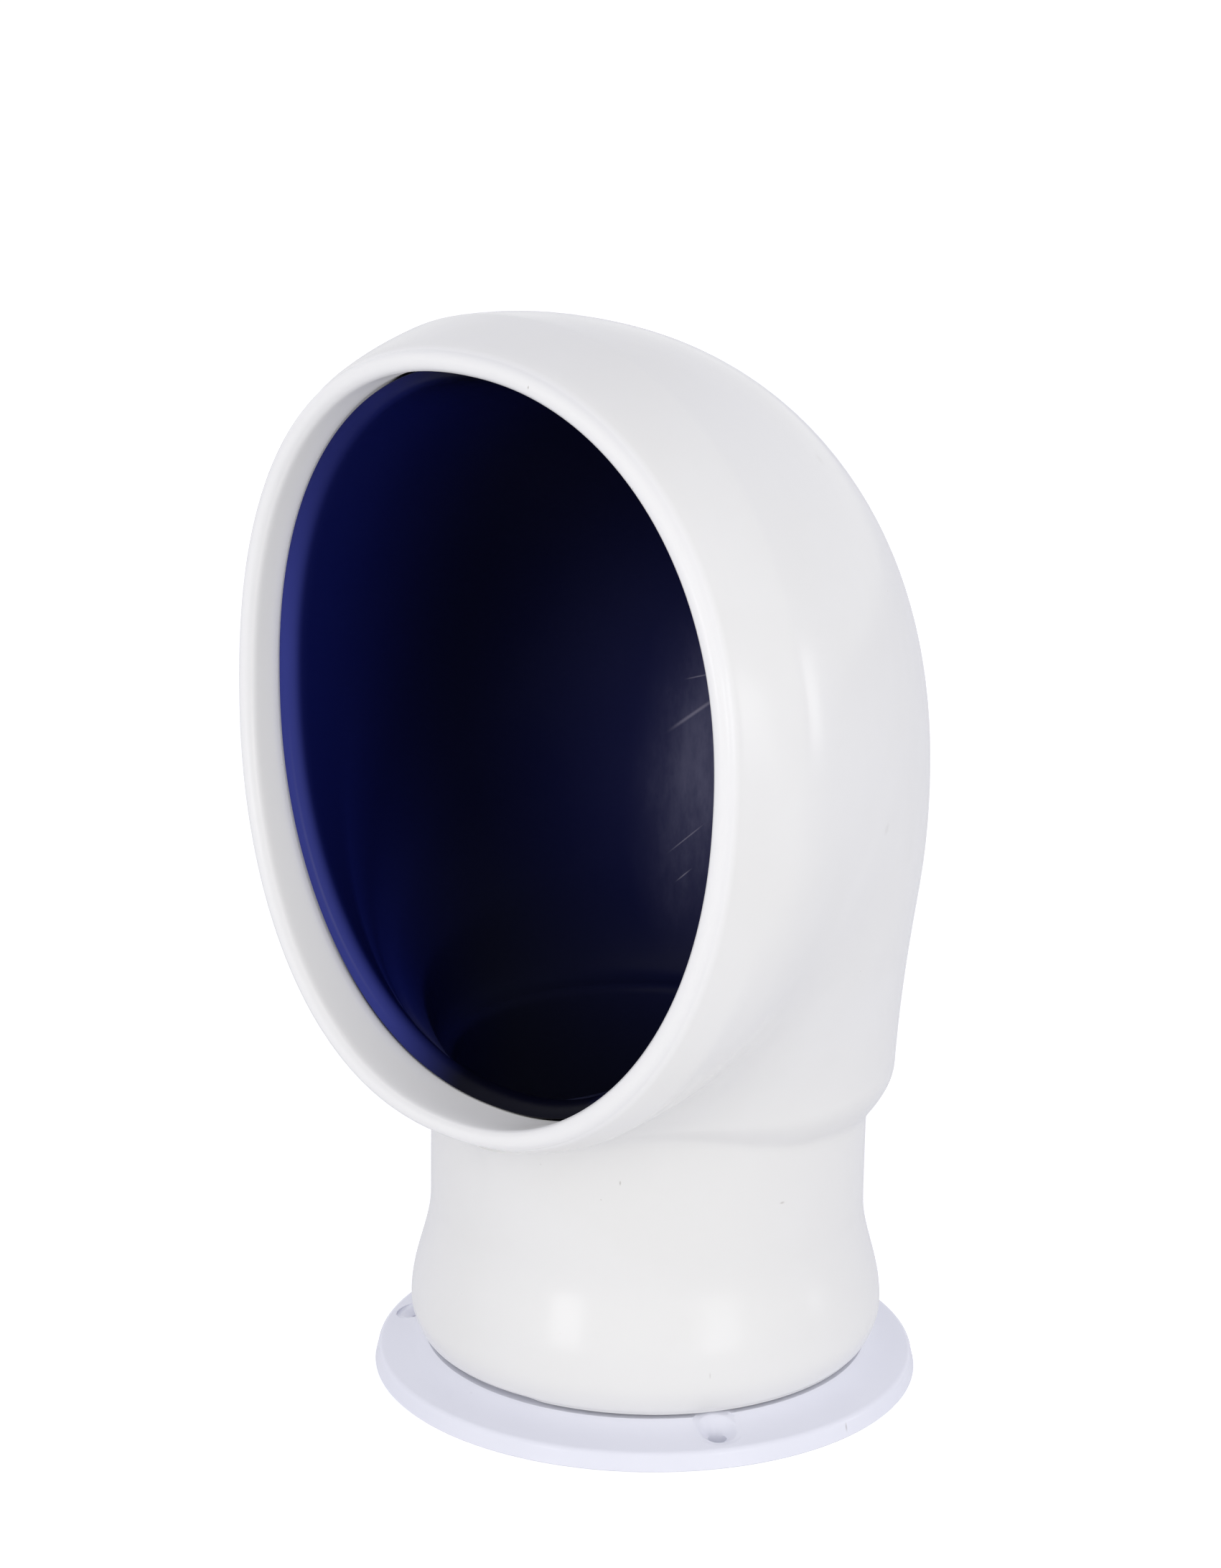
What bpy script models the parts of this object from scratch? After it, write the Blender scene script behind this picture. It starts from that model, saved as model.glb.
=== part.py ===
"""Cowl vent for a deck: a soft PVC cowl with its own liner, turning on a screwed-down ring.

Metres, +Z up. The origin is on the axis of the neck, at the face that lies on the deck.
The mouth looks along -Y, so a turn about +Z aims the cowl.
"""

import math
from collections import namedtuple

import bmesh
import bpy

MM = 0.001

# Neck and foot of the cowl
NECK_RADIUS = 59.6 * MM
NECK_LEVEL = 62.8 * MM
BASE_SWELL = 5.4 * MM
BASE_RADIUS = NECK_RADIUS + BASE_SWELL
BASE_LEVEL = 20.0 * MM
BASE_FADE = 30.0 * MM
FOOT_TUCK = 3.9 * MM
EDGE_RADIUS = BASE_RADIUS - FOOT_TUCK
EDGE_LEVEL = 9.9 * MM
EDGE_CHAMFER = 0.7 * MM
SHELL_WALL = 3.0 * MM
GRIP_WALL = 3.5 * MM
GRIP_HEIGHT = 4.0 * MM
GROOVE_HALF_HEIGHT = 2.0 * MM
GROOVE_TOP = BASE_LEVEL + 0.55 * BASE_FADE
SNAP_CLEARANCE = 0.45 * MM

# Deck ring
FLANGE_WIDTH = 13.9 * MM
FLANGE_RADIUS = EDGE_RADIUS + FLANGE_WIDTH
FLANGE_EDGE = 5.2 * MM
FLANGE_DRAFT = 0.8 * MM
SHOULDER_RADIUS = 1.5 * MM
FLANGE_RISE = 1.9 * MM
BORE_INSET = 7.6 * MM
BORE_RADIUS = NECK_RADIUS - BORE_INSET
COLLAR_RISE = 2.0 * MM
COLLAR_TOP = GROOVE_TOP + COLLAR_RISE
COLLAR_CHAMFER = 1.0 * MM
RING_SEGMENTS = 72

# Countersunk screw holes, their centres just outside the cowl's edge
HOLE_COUNT = 3
HOLE_CIRCLE = EDGE_RADIUS + 0.28 * FLANGE_WIDTH
HOLE_RADIUS = 2.5 * MM
SINK_RADIUS = 5.6 * MM
SINK_ANGLE = math.radians(45)
FIRST_HOLE = math.radians(62)
CUTTER_REACH = 3.0 * MM
CUTTER_SEGMENTS = 24

# Mouth: an egg-shaped opening in a plane that leans back
MOUTH_HALF_WIDTH = 86.1 * MM
MOUTH_HALF_HEIGHT = 97.3 * MM
MOUTH_LEVEL = 184.8 * MM
MOUTH_REACH = 71.6 * MM
MOUTH_LEAN = math.radians(1.65)
MOUTH_POWER = 2.18
MOUTH_EGG = 0.04
MOUTH_BOW = 5.2 * MM
BEAD_RADIUS = 2.74 * MM
BAND_FLARE = 1.0 * MM

# Collar: it widens from the lip's bead to a soft crease, and meets the neck at the throat
COLLAR_FLARE = 13.2 * MM
COLLAR_SPREAD = 14.4 * MM
COLLAR_DEPTH = 20.0 * MM
COLLAR_SWELL = 0.7 * MM
CREASE_POWER = 2.22
CREASE_EGG = -0.029
CREASE_SADDLE = 6.3 * MM
THROAT_STEP = 0.9 * MM
THROAT_LEVEL = 81.5 * MM

# Hood: the bend from the mouth down to the neck
BULB_SWELL = 6.94 * MM
BULB_RADIUS = NECK_RADIUS + BULB_SWELL
BACK_BELLY = 2.4 * MM
BACK_REACH = BULB_RADIUS + BACK_BELLY
BACK_LEVEL = 158.16 * MM
BACK_POWER = 2.07
BULB_LEVEL = 88.07 * MM
BULB_DROP = 1.3 * MM
BULB_SADDLE = -8.0 * MM
HOOD_HALF_WIDTHS = (91.29 * MM, 78.1 * MM)
HOOD_SADDLE = -5.06 * MM
NECK_CREASE_BACK = 70.3 * MM
NECK_CREASE_FRONT = 78.6 * MM
NECK_CREASE_SADDLE = -5.2 * MM
THROAT_LIFT = 6.1 * MM
LINING_DROP = 2.0 * MM

# How finely the lofts are cut: each share is a part of the way along its stretch
HOOD_STEPS = 14
LOFT_SEGMENTS = 48
FOOT_SHARES = (0.68, 0.36)
BASE_SHARES = (1.0, 0.8, 0.66, 0.52, 0.38, 0.22, 0.0)
BULB_SHARES = (0.2, 0.4, 0.6, 0.8)
COLLAR_SHARES = (0.8, 0.5, 0.2)
LINING_SHARES = (0.4, 0.75)
LEDGE_SHARES = ((0.6, 0.15), (0.92, 0.5))
BEAD_ANGLES = (0, 45, 90, 135)
RIM_ANGLES = (0, 50, 90, 130, 180)
ROUNDING_ANGLES = (0, 30, 60, 90)
GUIDE_POINTS = 200

# Liner
LINER_GAP = 0.45 * MM
LINER_WALL = 2.6 * MM
RIM_THICKNESS = 4.2 * MM
RIM_DEPTH_TOP = 12.0 * MM
RIM_DEPTH_LOW = 14.0 * MM
BAND_PAST_RIM = 0.8 * MM
FOLD_LEVEL = 89.7 * MM
FOLD_RADIUS = 3.2 * MM
SLEEVE_WALL = 2.85 * MM
LINER_BORE = NECK_RADIUS - SHELL_WALL - LINER_GAP - SLEEVE_WALL
SLEEVE_END = 40.0 * MM

WHITE_PVC = (0.86, 0.86, 0.84, 1.0)
BLUE_PVC = (0.012, 0.018, 0.11, 1.0)
WHITE_ABS = (0.70, 0.73, 0.78, 1.0)

# One closed curve of a loft: its top and bottom points in the plane x = 0, its half-width,
# its superellipse power, its egg shape, how far its sides stand ahead of that plane, and how far
# its lower quarters are lifted, where the throat's two creases climb to meet.
Ring = namedtuple("Ring", "top low half_width power egg saddle lift", defaults=(0.0, 0.0, 0.0))


def signed_power(value, power):
    return math.copysign(abs(value) ** (2 / power), value)


def unit(y, z):
    length = math.hypot(y, z)
    return y / length, z / length


def ring_points(ring):
    """The ring's points in space, from the top round by +X."""
    centre = [(a + b) / 2 for a, b in zip(ring.top, ring.low)]
    reach = [(a - b) / 2 for a, b in zip(ring.top, ring.low)]
    up_y, up_z = unit(*reach)
    points = []
    for step in range(LOFT_SEGMENTS):
        angle = 2 * math.pi * step / LOFT_SEGMENTS
        side = signed_power(math.sin(angle), ring.power)
        rise = signed_power(math.cos(angle), ring.power)
        ahead = ring.saddle * math.sin(angle) ** 2
        if math.cos(angle) < 0:
            ahead -= ring.lift * math.sin(2 * angle) ** 2
        x = ring.half_width * side * (1 + ring.egg * math.cos(angle))
        y = centre[0] + rise * reach[0] + ahead * up_z
        z = centre[1] + rise * reach[1] - ahead * up_y
        points.append((x, y, z))
    return points


def level_ring(radius, level):
    """A plain circle round the neck's axis."""
    return Ring((radius, level), (-radius, level), radius, 2.0)


def mouth_point(height, distance):
    """(y, z) at a height in the mouth's leaning plane and a distance ahead of the axis."""
    lean_sin, lean_cos = math.sin(MOUTH_LEAN), math.cos(MOUTH_LEAN)
    return height * lean_sin - distance * lean_cos, height * lean_cos + distance * lean_sin


def mouth_ring(offset, depth, depth_low=None, saddle=MOUTH_BOW):
    """A copy of the mouth's curve, grown by offset and set back by depth, with the bow of the lip."""
    depth_low = depth if depth_low is None else depth_low
    half = MOUTH_HALF_HEIGHT + offset
    top = mouth_point(MOUTH_LEVEL + half, MOUTH_REACH + MOUTH_BOW - depth)
    low = mouth_point(MOUTH_LEVEL - half, MOUTH_REACH + MOUTH_BOW - depth_low)
    return Ring(top, low, MOUTH_HALF_WIDTH + offset, MOUTH_POWER, MOUTH_EGG, saddle)


def spline_through(values):
    """A smooth curve through evenly spaced values, as a function of 0 to 1."""

    def at(share):
        place = share * (len(values) - 1)
        left = min(int(place), len(values) - 2)
        part = place - left
        before = values[max(left - 1, 0)]
        after = values[min(left + 2, len(values) - 1)]
        start, end = values[left], values[left + 1]
        slope_in, slope_out = (end - before) / 2, (after - start) / 2
        square, cube = part**2, part**3
        return (
            (2 * cube - 3 * square + 1) * start
            + (cube - 2 * square + part) * slope_in
            + (3 * square - 2 * cube) * end
            + (cube - square) * slope_out
        )

    return at


CREASE = Ring(
    top=mouth_ring(COLLAR_FLARE, COLLAR_DEPTH).top,
    low=(-(NECK_RADIUS + THROAT_STEP), THROAT_LEVEL),
    half_width=MOUTH_HALF_WIDTH + COLLAR_SPREAD,
    power=CREASE_POWER,
    egg=CREASE_EGG,
    saddle=CREASE_SADDLE,
)
BULB = Ring(
    top=(BULB_RADIUS, BULB_LEVEL),
    low=(-(NECK_RADIUS + THROAT_STEP / 2), THROAT_LEVEL - BULB_DROP),
    half_width=BULB_RADIUS,
    power=2.0,
    saddle=BULB_SADDLE,
    lift=THROAT_LIFT,
)
NECK_CREASE = Ring(
    top=(NECK_RADIUS, NECK_CREASE_BACK),
    low=(-NECK_RADIUS, NECK_CREASE_FRONT),
    half_width=NECK_RADIUS,
    power=2.0,
    saddle=NECK_CREASE_SADDLE,
    lift=THROAT_LIFT,
)
half_width_at = spline_through([CREASE.half_width, *HOOD_HALF_WIDTHS, BULB.half_width])
saddle_at = spline_through([CREASE.saddle, HOOD_SADDLE, BULB.saddle])


def back_guide(count):
    """(y, z) points of the hood's back from crease to bulb, evenly spaced along it."""
    start_y, start_z = CREASE.top
    path = []
    for step in range(GUIDE_POINTS):
        angle = math.pi / 2 * step / (GUIDE_POINTS - 1)
        y = start_y + (BACK_REACH - start_y) * math.sin(angle) ** (2 / BACK_POWER)
        z = BACK_LEVEL + (start_z - BACK_LEVEL) * math.cos(angle) ** (2 / BACK_POWER)
        path.append((y, z))
    for step in range(1, GUIDE_POINTS):
        share = step / (GUIDE_POINTS - 1)
        y = BACK_REACH + (BULB_RADIUS - BACK_REACH) * share
        path.append((y, BACK_LEVEL + (BULB_LEVEL - BACK_LEVEL) * share))
    run = [0.0]
    for first, second in zip(path, path[1:]):
        run.append(run[-1] + math.dist(first, second))
    points = []
    for step in range(count + 1):
        goal = run[-1] * step / count
        place = next(i for i, length in enumerate(run) if length >= goal - 1e-12)
        place = max(place, 1)
        part = (goal - run[place - 1]) / (run[place] - run[place - 1])
        points.append(tuple(a + (b - a) * part for a, b in zip(path[place - 1], path[place])))
    return points


def hood_ring(step, inset, low):
    """The hood's ring at a step along its back, moved inwards by inset, with a given low point."""
    guide = back_guide(HOOD_STEPS)
    share = step / HOOD_STEPS
    before, after = guide[max(step - 1, 0)], guide[min(step + 1, HOOD_STEPS)]
    along_y, along_z = unit(after[0] - before[0], after[1] - before[1])
    top = (guide[step][0] + inset * along_z, guide[step][1] - inset * along_y)
    return Ring(
        top,
        low,
        half_width_at(share) - inset,
        CREASE.power + (BULB.power - CREASE.power) * share,
        CREASE.egg * (1 - share),
        saddle_at(share),
        THROAT_LIFT * share,
    )


def hood_rings(inset, low_start, low_end, bend=False):
    """Rings from the collar's crease to the bulb; the low points run straight or round a bend."""
    rings = []
    for step in range(HOOD_STEPS + 1):
        share = step / HOOD_STEPS
        share_y = math.sin(share * math.pi / 2) if bend else share
        share_z = 1 - math.cos(share * math.pi / 2) if bend else share
        low = (
            low_start[0] + (low_end[0] - low_start[0]) * share_y,
            low_start[1] + (low_end[1] - low_start[1]) * share_z,
        )
        rings.append(hood_ring(step, inset, low))
    return rings


def between(first, second, share, share_out=None):
    """A ring part of the way from one to the next; share_out is the part of the way sideways."""
    share_out = share if share_out is None else share_out
    across = [a + (b - a) * share_out for a, b in ((first.top[0], second.top[0]), (first.low[0], second.low[0]))]
    height = [a + (b - a) * share for a, b in ((first.top[1], second.top[1]), (first.low[1], second.low[1]))]
    return Ring(
        (across[0], height[0]),
        (across[1], height[1]),
        first.half_width + (second.half_width - first.half_width) * share_out,
        first.power + (second.power - first.power) * share,
        first.egg + (second.egg - first.egg) * share,
        first.saddle + (second.saddle - first.saddle) * share,
        first.lift + (second.lift - first.lift) * share,
    )


def base_profile(inset):
    """(radius, level) down the neck's foot, from where the swelling fades out to its widest."""
    points = []
    for share in BASE_SHARES:
        fullness = (1 + math.cos(math.pi * share)) / 2
        radius = NECK_RADIUS + (BASE_RADIUS - NECK_RADIUS) * fullness - inset
        points.append((radius, BASE_LEVEL + BASE_FADE * share))
    return points


def groove_profile(clearance):
    """(radius, level) of the groove that grips the ring, top to bottom, moved in by a clearance."""
    deep = BASE_RADIUS - GRIP_WALL - clearance
    grip = EDGE_RADIUS - GRIP_WALL - clearance
    lip_top = EDGE_LEVEL + GRIP_HEIGHT
    return [
        (NECK_RADIUS - SHELL_WALL - clearance, GROOVE_TOP - clearance),
        (deep, BASE_LEVEL + GROOVE_HALF_HEIGHT - clearance),
        (deep, BASE_LEVEL - GROOVE_HALF_HEIGHT + clearance),
        (grip, lip_top + clearance),
    ]


def add_material(name, colour, roughness):
    material = bpy.data.materials.new(name)
    material.use_nodes = True
    shader = material.node_tree.nodes["Principled BSDF"]
    shader.inputs["Base Color"].default_value = colour
    shader.inputs["Roughness"].default_value = roughness
    shader.inputs["Metallic"].default_value = 0.0
    return material


def add_object(name, bm, material, sharp_angle=40):
    mesh = bpy.data.meshes.new(name)
    bmesh.ops.recalc_face_normals(bm, faces=bm.faces[:])
    bm.to_mesh(mesh)
    bm.free()
    mesh.shade_smooth()
    mesh.set_sharp_from_angle(angle=math.radians(sharp_angle))
    mesh.materials.append(material)
    obj = bpy.data.objects.new(name, mesh)
    bpy.context.scene.collection.objects.link(obj)
    return obj


def loft(rings):
    """A closed skin through the rings, the last one joined to the first."""
    bm = bmesh.new()
    rows = [[bm.verts.new(point) for point in ring_points(ring)] for ring in rings]
    for row, following in zip(rows, rows[1:] + rows[:1]):
        for step in range(LOFT_SEGMENTS):
            after = (step + 1) % LOFT_SEGMENTS
            bm.faces.new((row[step], row[after], following[after], following[step]))
    return bm


def turned(profile, segments):
    """A closed (radius, level) profile spun round the Z axis."""
    bm = bmesh.new()
    corners = [bm.verts.new((radius, 0, level)) for radius, level in profile]
    edges = [bm.edges.new(pair) for pair in zip(corners, corners[1:] + corners[:1])]
    bmesh.ops.spin(
        bm,
        geom=corners + edges,
        cent=(0, 0, 0),
        axis=(0, 0, 1),
        angle=2 * math.pi,
        steps=segments,
        use_merge=True,
    )
    return bm


def collar_ring(share):
    """A ring of the collar, part of the way from the lip's bead to the crease, swollen midway."""
    swell = COLLAR_SWELL * math.sin(share * math.pi)
    plain = between(mouth_ring(2 * BEAD_RADIUS, 0), CREASE, share)
    return plain._replace(
        top=(plain.top[0], plain.top[1] + swell),
        low=(plain.low[0], plain.low[1] - swell),
        half_width=plain.half_width + swell,
    )


def cowl_outside():
    """The rings of the cowl's outer face, from its lower edge up to the lip."""
    rings = [
        level_ring(EDGE_RADIUS - EDGE_CHAMFER, EDGE_LEVEL),
        level_ring(EDGE_RADIUS, EDGE_LEVEL + EDGE_CHAMFER),
    ]
    foot = BASE_LEVEL - EDGE_LEVEL
    for share in FOOT_SHARES:
        rings.append(level_ring(BASE_RADIUS - (BASE_RADIUS - EDGE_RADIUS) * share**2, BASE_LEVEL - foot * share))
    rings += [level_ring(*point) for point in reversed(base_profile(0))]
    rings += [level_ring(NECK_RADIUS, NECK_LEVEL), NECK_CREASE]
    for share in BULB_SHARES:
        rings.append(between(NECK_CREASE, BULB, share, math.sin(share * math.pi / 2)))
    rings += reversed(hood_rings(0, CREASE.low, BULB.low))
    rings += [collar_ring(share) for share in COLLAR_SHARES]
    for angle in BEAD_ANGLES:
        turn = math.radians(angle)
        offset = BEAD_RADIUS * (1 + math.cos(turn))
        rings.append(mouth_ring(offset, -BEAD_RADIUS * math.sin(turn)))
    return rings


def cowl_inside():
    """The rings of the cowl's inner face, from the lip back down to its lower edge."""
    rings = [
        mouth_ring(0, 0),
        mouth_ring(BAND_FLARE / 2, RIM_DEPTH_TOP / 2, RIM_DEPTH_LOW / 2, MOUTH_BOW / 2),
        mouth_ring(BAND_FLARE, RIM_DEPTH_TOP, RIM_DEPTH_LOW, 0),
    ]
    rings += [shell_lining(step, 0) for step in range(1, HOOD_STEPS + 1)]
    rings += neck_lining(0)
    groove = groove_profile(0)
    rings += [level_ring(*point) for point in groove]
    rings.append(level_ring(EDGE_RADIUS - GRIP_WALL, EDGE_LEVEL))
    return rings


def shell_lining(step, gap):
    """The shell's inner face at a step of the hood, moved inwards by a gap."""
    band_end = RIM_DEPTH_LOW + RIM_THICKNESS / 2 + BAND_PAST_RIM
    low_start = mouth_ring(BAND_FLARE, 0, band_end).low
    low_end = (-(NECK_RADIUS - SHELL_WALL), BULB.low[1])
    start = (low_start[0] + gap, low_start[1] + gap)
    end = (low_end[0] + gap, low_end[1] + gap)
    return hood_rings(SHELL_WALL + gap, start, end, bend=True)[step]


def neck_lining(gap):
    """The shell's inner face from below the bulb to the neck, moved inwards by a gap."""
    bulb = shell_lining(HOOD_STEPS, gap)
    radius = NECK_RADIUS - SHELL_WALL - gap
    crease = NECK_CREASE._replace(
        top=(radius, NECK_CREASE_BACK + LINING_DROP),
        low=(-radius, BULB.low[1] - LINING_DROP),
        half_width=radius,
    )
    rings = [between(bulb, crease, share, 1 - math.cos(share * math.pi / 2)) for share in LINING_SHARES]
    return rings + [crease, level_ring(radius, NECK_LEVEL)]


def add_cowl_shell(material):
    return add_object("cowl_shell", loft(cowl_outside() + cowl_inside()), material)


def add_cowl_liner(material):
    """The liner lies against the shell's inner face, folds in above the neck and runs down it."""
    outer_radius = NECK_RADIUS - SHELL_WALL - LINER_GAP
    rings = [level_ring(outer_radius, SLEEVE_END)]
    rings += reversed(neck_lining(LINER_GAP))
    rings += [shell_lining(step, LINER_GAP) for step in range(HOOD_STEPS, 0, -1)]
    half = RIM_THICKNESS / 2
    for angle in RIM_ANGLES:
        turn = math.radians(angle)
        offset = BAND_FLARE - LINER_GAP - half * (1 - math.cos(turn))
        ahead = half * math.sin(turn) - half
        rings.append(mouth_ring(offset, RIM_DEPTH_TOP - ahead, RIM_DEPTH_LOW - ahead, 0))
    inset = SHELL_WALL + LINER_GAP + LINER_WALL
    ledge = level_ring(LINER_BORE + FOLD_RADIUS, FOLD_LEVEL + FOLD_RADIUS / 2)
    inner = hood_rings(inset, rings[-1].low, ledge.low)
    rings += inner[1:-2]
    rings += [between(inner[-3], ledge, share, share_out) for share, share_out in LEDGE_SHARES]
    for angle in ROUNDING_ANGLES:
        turn = math.radians(angle)
        radius = LINER_BORE + FOLD_RADIUS * (1 - math.sin(turn))
        rings.append(level_ring(radius, FOLD_LEVEL + FOLD_RADIUS * math.cos(turn) - FOLD_RADIUS / 2))
    rings.append(level_ring(LINER_BORE, SLEEVE_END))
    return add_object("cowl_liner", loft(rings), material)


def flange_profile():
    """(radius, level) round the deck ring's section, from the bore's foot outwards."""
    edge_top = FLANGE_RADIUS - FLANGE_DRAFT
    points = [(BORE_RADIUS, 0.0), (FLANGE_RADIUS, 0.0)]
    for angle in ROUNDING_ANGLES:
        turn = math.radians(angle)
        out = SHOULDER_RADIUS * (1 - math.cos(turn))
        points.append((edge_top - out, FLANGE_EDGE - SHOULDER_RADIUS * (1 - math.sin(turn))))
    collar_radius = EDGE_RADIUS - GRIP_WALL - SNAP_CLEARANCE
    points.append((EDGE_RADIUS, FLANGE_EDGE + FLANGE_RISE))
    points.append((collar_radius, FLANGE_EDGE + FLANGE_RISE))
    groove = groove_profile(SNAP_CLEARANCE)
    points += reversed(groove)
    points.append((groove[0][0] - COLLAR_CHAMFER, COLLAR_TOP))
    points.append((BORE_RADIUS, COLLAR_TOP))
    return points


def add_hole_cutter(number):
    """A screw hole with its countersink, as a helper that cuts the deck ring."""
    angle = FIRST_HOLE + 2 * math.pi * number / HOLE_COUNT
    share = (FLANGE_RADIUS - FLANGE_DRAFT - HOLE_CIRCLE) / (FLANGE_RADIUS - FLANGE_DRAFT - EDGE_RADIUS)
    surface = FLANGE_EDGE + FLANGE_RISE * share
    sink_depth = (SINK_RADIUS - HOLE_RADIUS) / math.tan(SINK_ANGLE)
    profile = [
        (0.0, -CUTTER_REACH),
        (HOLE_RADIUS, -CUTTER_REACH),
        (HOLE_RADIUS, surface - sink_depth),
        (SINK_RADIUS, surface),
        (SINK_RADIUS, surface + CUTTER_REACH),
        (0.0, surface + CUTTER_REACH),
    ]
    bm = bmesh.new()
    corners = [bm.verts.new((radius, 0, level)) for radius, level in profile]
    edges = [bm.edges.new(pair) for pair in zip(corners, corners[1:])]
    bmesh.ops.spin(
        bm,
        geom=corners + edges,
        cent=(0, 0, 0),
        axis=(0, 0, 1),
        angle=2 * math.pi,
        steps=CUTTER_SEGMENTS,
        use_merge=True,
    )
    bmesh.ops.remove_doubles(bm, verts=bm.verts[:], dist=0.01 * MM)
    mesh = bpy.data.meshes.new(f"hole_cutter_{number}")
    bmesh.ops.recalc_face_normals(bm, faces=bm.faces[:])
    bm.to_mesh(mesh)
    bm.free()
    cutter = bpy.data.objects.new(mesh.name, mesh)
    cutter.location = (HOLE_CIRCLE * math.sin(angle), -HOLE_CIRCLE * math.cos(angle), 0)
    cutter.hide_render = True
    cutter.display_type = "WIRE"
    bpy.context.scene.collection.objects.link(cutter)
    return cutter


def add_deck_flange(material):
    flange = add_object("deck_flange", turned(flange_profile(), RING_SEGMENTS), material, 28)
    for number in range(HOLE_COUNT):
        cut = flange.modifiers.new(f"screw_hole_{number}", "BOOLEAN")
        cut.operation = "DIFFERENCE"
        cut.solver = "EXACT"
        cut.object = add_hole_cutter(number)
    return flange


def main():
    for obj in list(bpy.data.objects):
        bpy.data.objects.remove(obj, do_unlink=True)
    turning_axis = bpy.data.objects.new("turning_axis", None)
    bpy.context.scene.collection.objects.link(turning_axis)
    for piece in (
        add_cowl_shell(add_material("white_pvc", WHITE_PVC, 0.38)),
        add_cowl_liner(add_material("blue_pvc", BLUE_PVC, 0.35)),
    ):
        piece.parent = turning_axis
    add_deck_flange(add_material("white_abs", WHITE_ABS, 0.3))


main()
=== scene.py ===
# %% [markdown]
# # A cowl vent for a boat's deck
#
# A cowl vent is a soft plastic scoop that stands on a deck and leads air below. It turns on a round
# deck flange, so that its mouth can face the wind or look away from it. This script loads the packed
# model as a fixed frame and dresses it: every piece stays where the frame has it, and gets a finer
# shape and a real finish.

# %% Load the frame
import math
from collections import namedtuple

import bmesh
import bpy
from mathutils import Matrix, Vector


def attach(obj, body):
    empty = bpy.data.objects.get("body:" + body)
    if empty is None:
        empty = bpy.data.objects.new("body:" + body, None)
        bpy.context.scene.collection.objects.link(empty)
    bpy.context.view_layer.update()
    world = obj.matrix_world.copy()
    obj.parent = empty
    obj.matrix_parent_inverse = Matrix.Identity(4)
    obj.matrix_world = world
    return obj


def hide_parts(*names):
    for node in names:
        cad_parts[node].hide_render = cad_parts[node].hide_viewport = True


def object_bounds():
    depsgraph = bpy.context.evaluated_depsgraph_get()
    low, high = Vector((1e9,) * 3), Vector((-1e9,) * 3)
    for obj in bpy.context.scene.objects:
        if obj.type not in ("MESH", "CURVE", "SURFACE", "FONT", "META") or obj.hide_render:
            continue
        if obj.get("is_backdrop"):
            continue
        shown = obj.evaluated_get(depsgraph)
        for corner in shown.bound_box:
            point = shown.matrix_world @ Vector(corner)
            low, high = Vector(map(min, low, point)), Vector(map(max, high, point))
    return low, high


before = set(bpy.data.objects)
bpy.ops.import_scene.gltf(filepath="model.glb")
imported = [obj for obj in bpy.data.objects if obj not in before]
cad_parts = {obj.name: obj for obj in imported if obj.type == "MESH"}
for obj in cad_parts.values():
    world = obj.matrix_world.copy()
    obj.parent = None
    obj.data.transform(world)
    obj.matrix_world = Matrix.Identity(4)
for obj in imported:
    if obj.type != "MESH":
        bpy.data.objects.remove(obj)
frame_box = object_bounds()
MM = 0.001

# %% [markdown]
# ## The camera
#
# A product photograph is taken from some way off with a long lens, so the shape is hardly distorted.
# The camera could be placed by eye, but then every outline is a little wrong. Here its place and its
# three axes were worked out from the flange's rim, its screw holes and the mouth's curve, and the lens
# follows from the same sum: 5500 pixels of focal length in a frame 2184 pixels high.

# %% Camera at the photograph's angle
FRAME_HEIGHT = 2184
FOCAL_PIXELS = 5500
SENSOR_HEIGHT = 24
CAMERA_PLACE = Vector((713.6, -727.8, 452.4)) * MM
CAMERA_RIGHT = Vector((0.70362, 0.71047, 0.01218))
CAMERA_UP = Vector((-0.20068, 0.18224, 0.96256))


def add_camera():
    lens = bpy.data.cameras.new("camera")
    lens.sensor_fit = "VERTICAL"
    lens.sensor_height = SENSOR_HEIGHT
    lens.lens = FOCAL_PIXELS / FRAME_HEIGHT * SENSOR_HEIGHT
    lens.clip_start = 0.01
    camera = bpy.data.objects.new("camera", lens)
    axes = Matrix((CAMERA_RIGHT, CAMERA_UP, CAMERA_RIGHT.cross(CAMERA_UP))).transposed()
    camera.matrix_world = Matrix.Translation(CAMERA_PLACE) @ axes.to_4x4()
    bpy.context.scene.collection.objects.link(camera)
    bpy.context.scene.camera = camera
    return camera


camera = add_camera()
print("lens:", round(camera.data.lens, 2), "mm")

# %% [markdown]
# ## The studio
#
# White plastic shows its form through soft shading, so the light is broad and even: a pale room that is
# brightest round the camera and dimmer overhead, which lets the hood's top fall off softly. The
# neck's swollen foot mirrors only what stands near the ground, so three small softboxes stand low,
# and it shows them as three upright soft patches. The camera alone sees the room as white and the
# floor as glowing (Light Path, Is Camera Ray), which keeps the background white without more light
# on the object, and the floor keeps its shadow.

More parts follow.
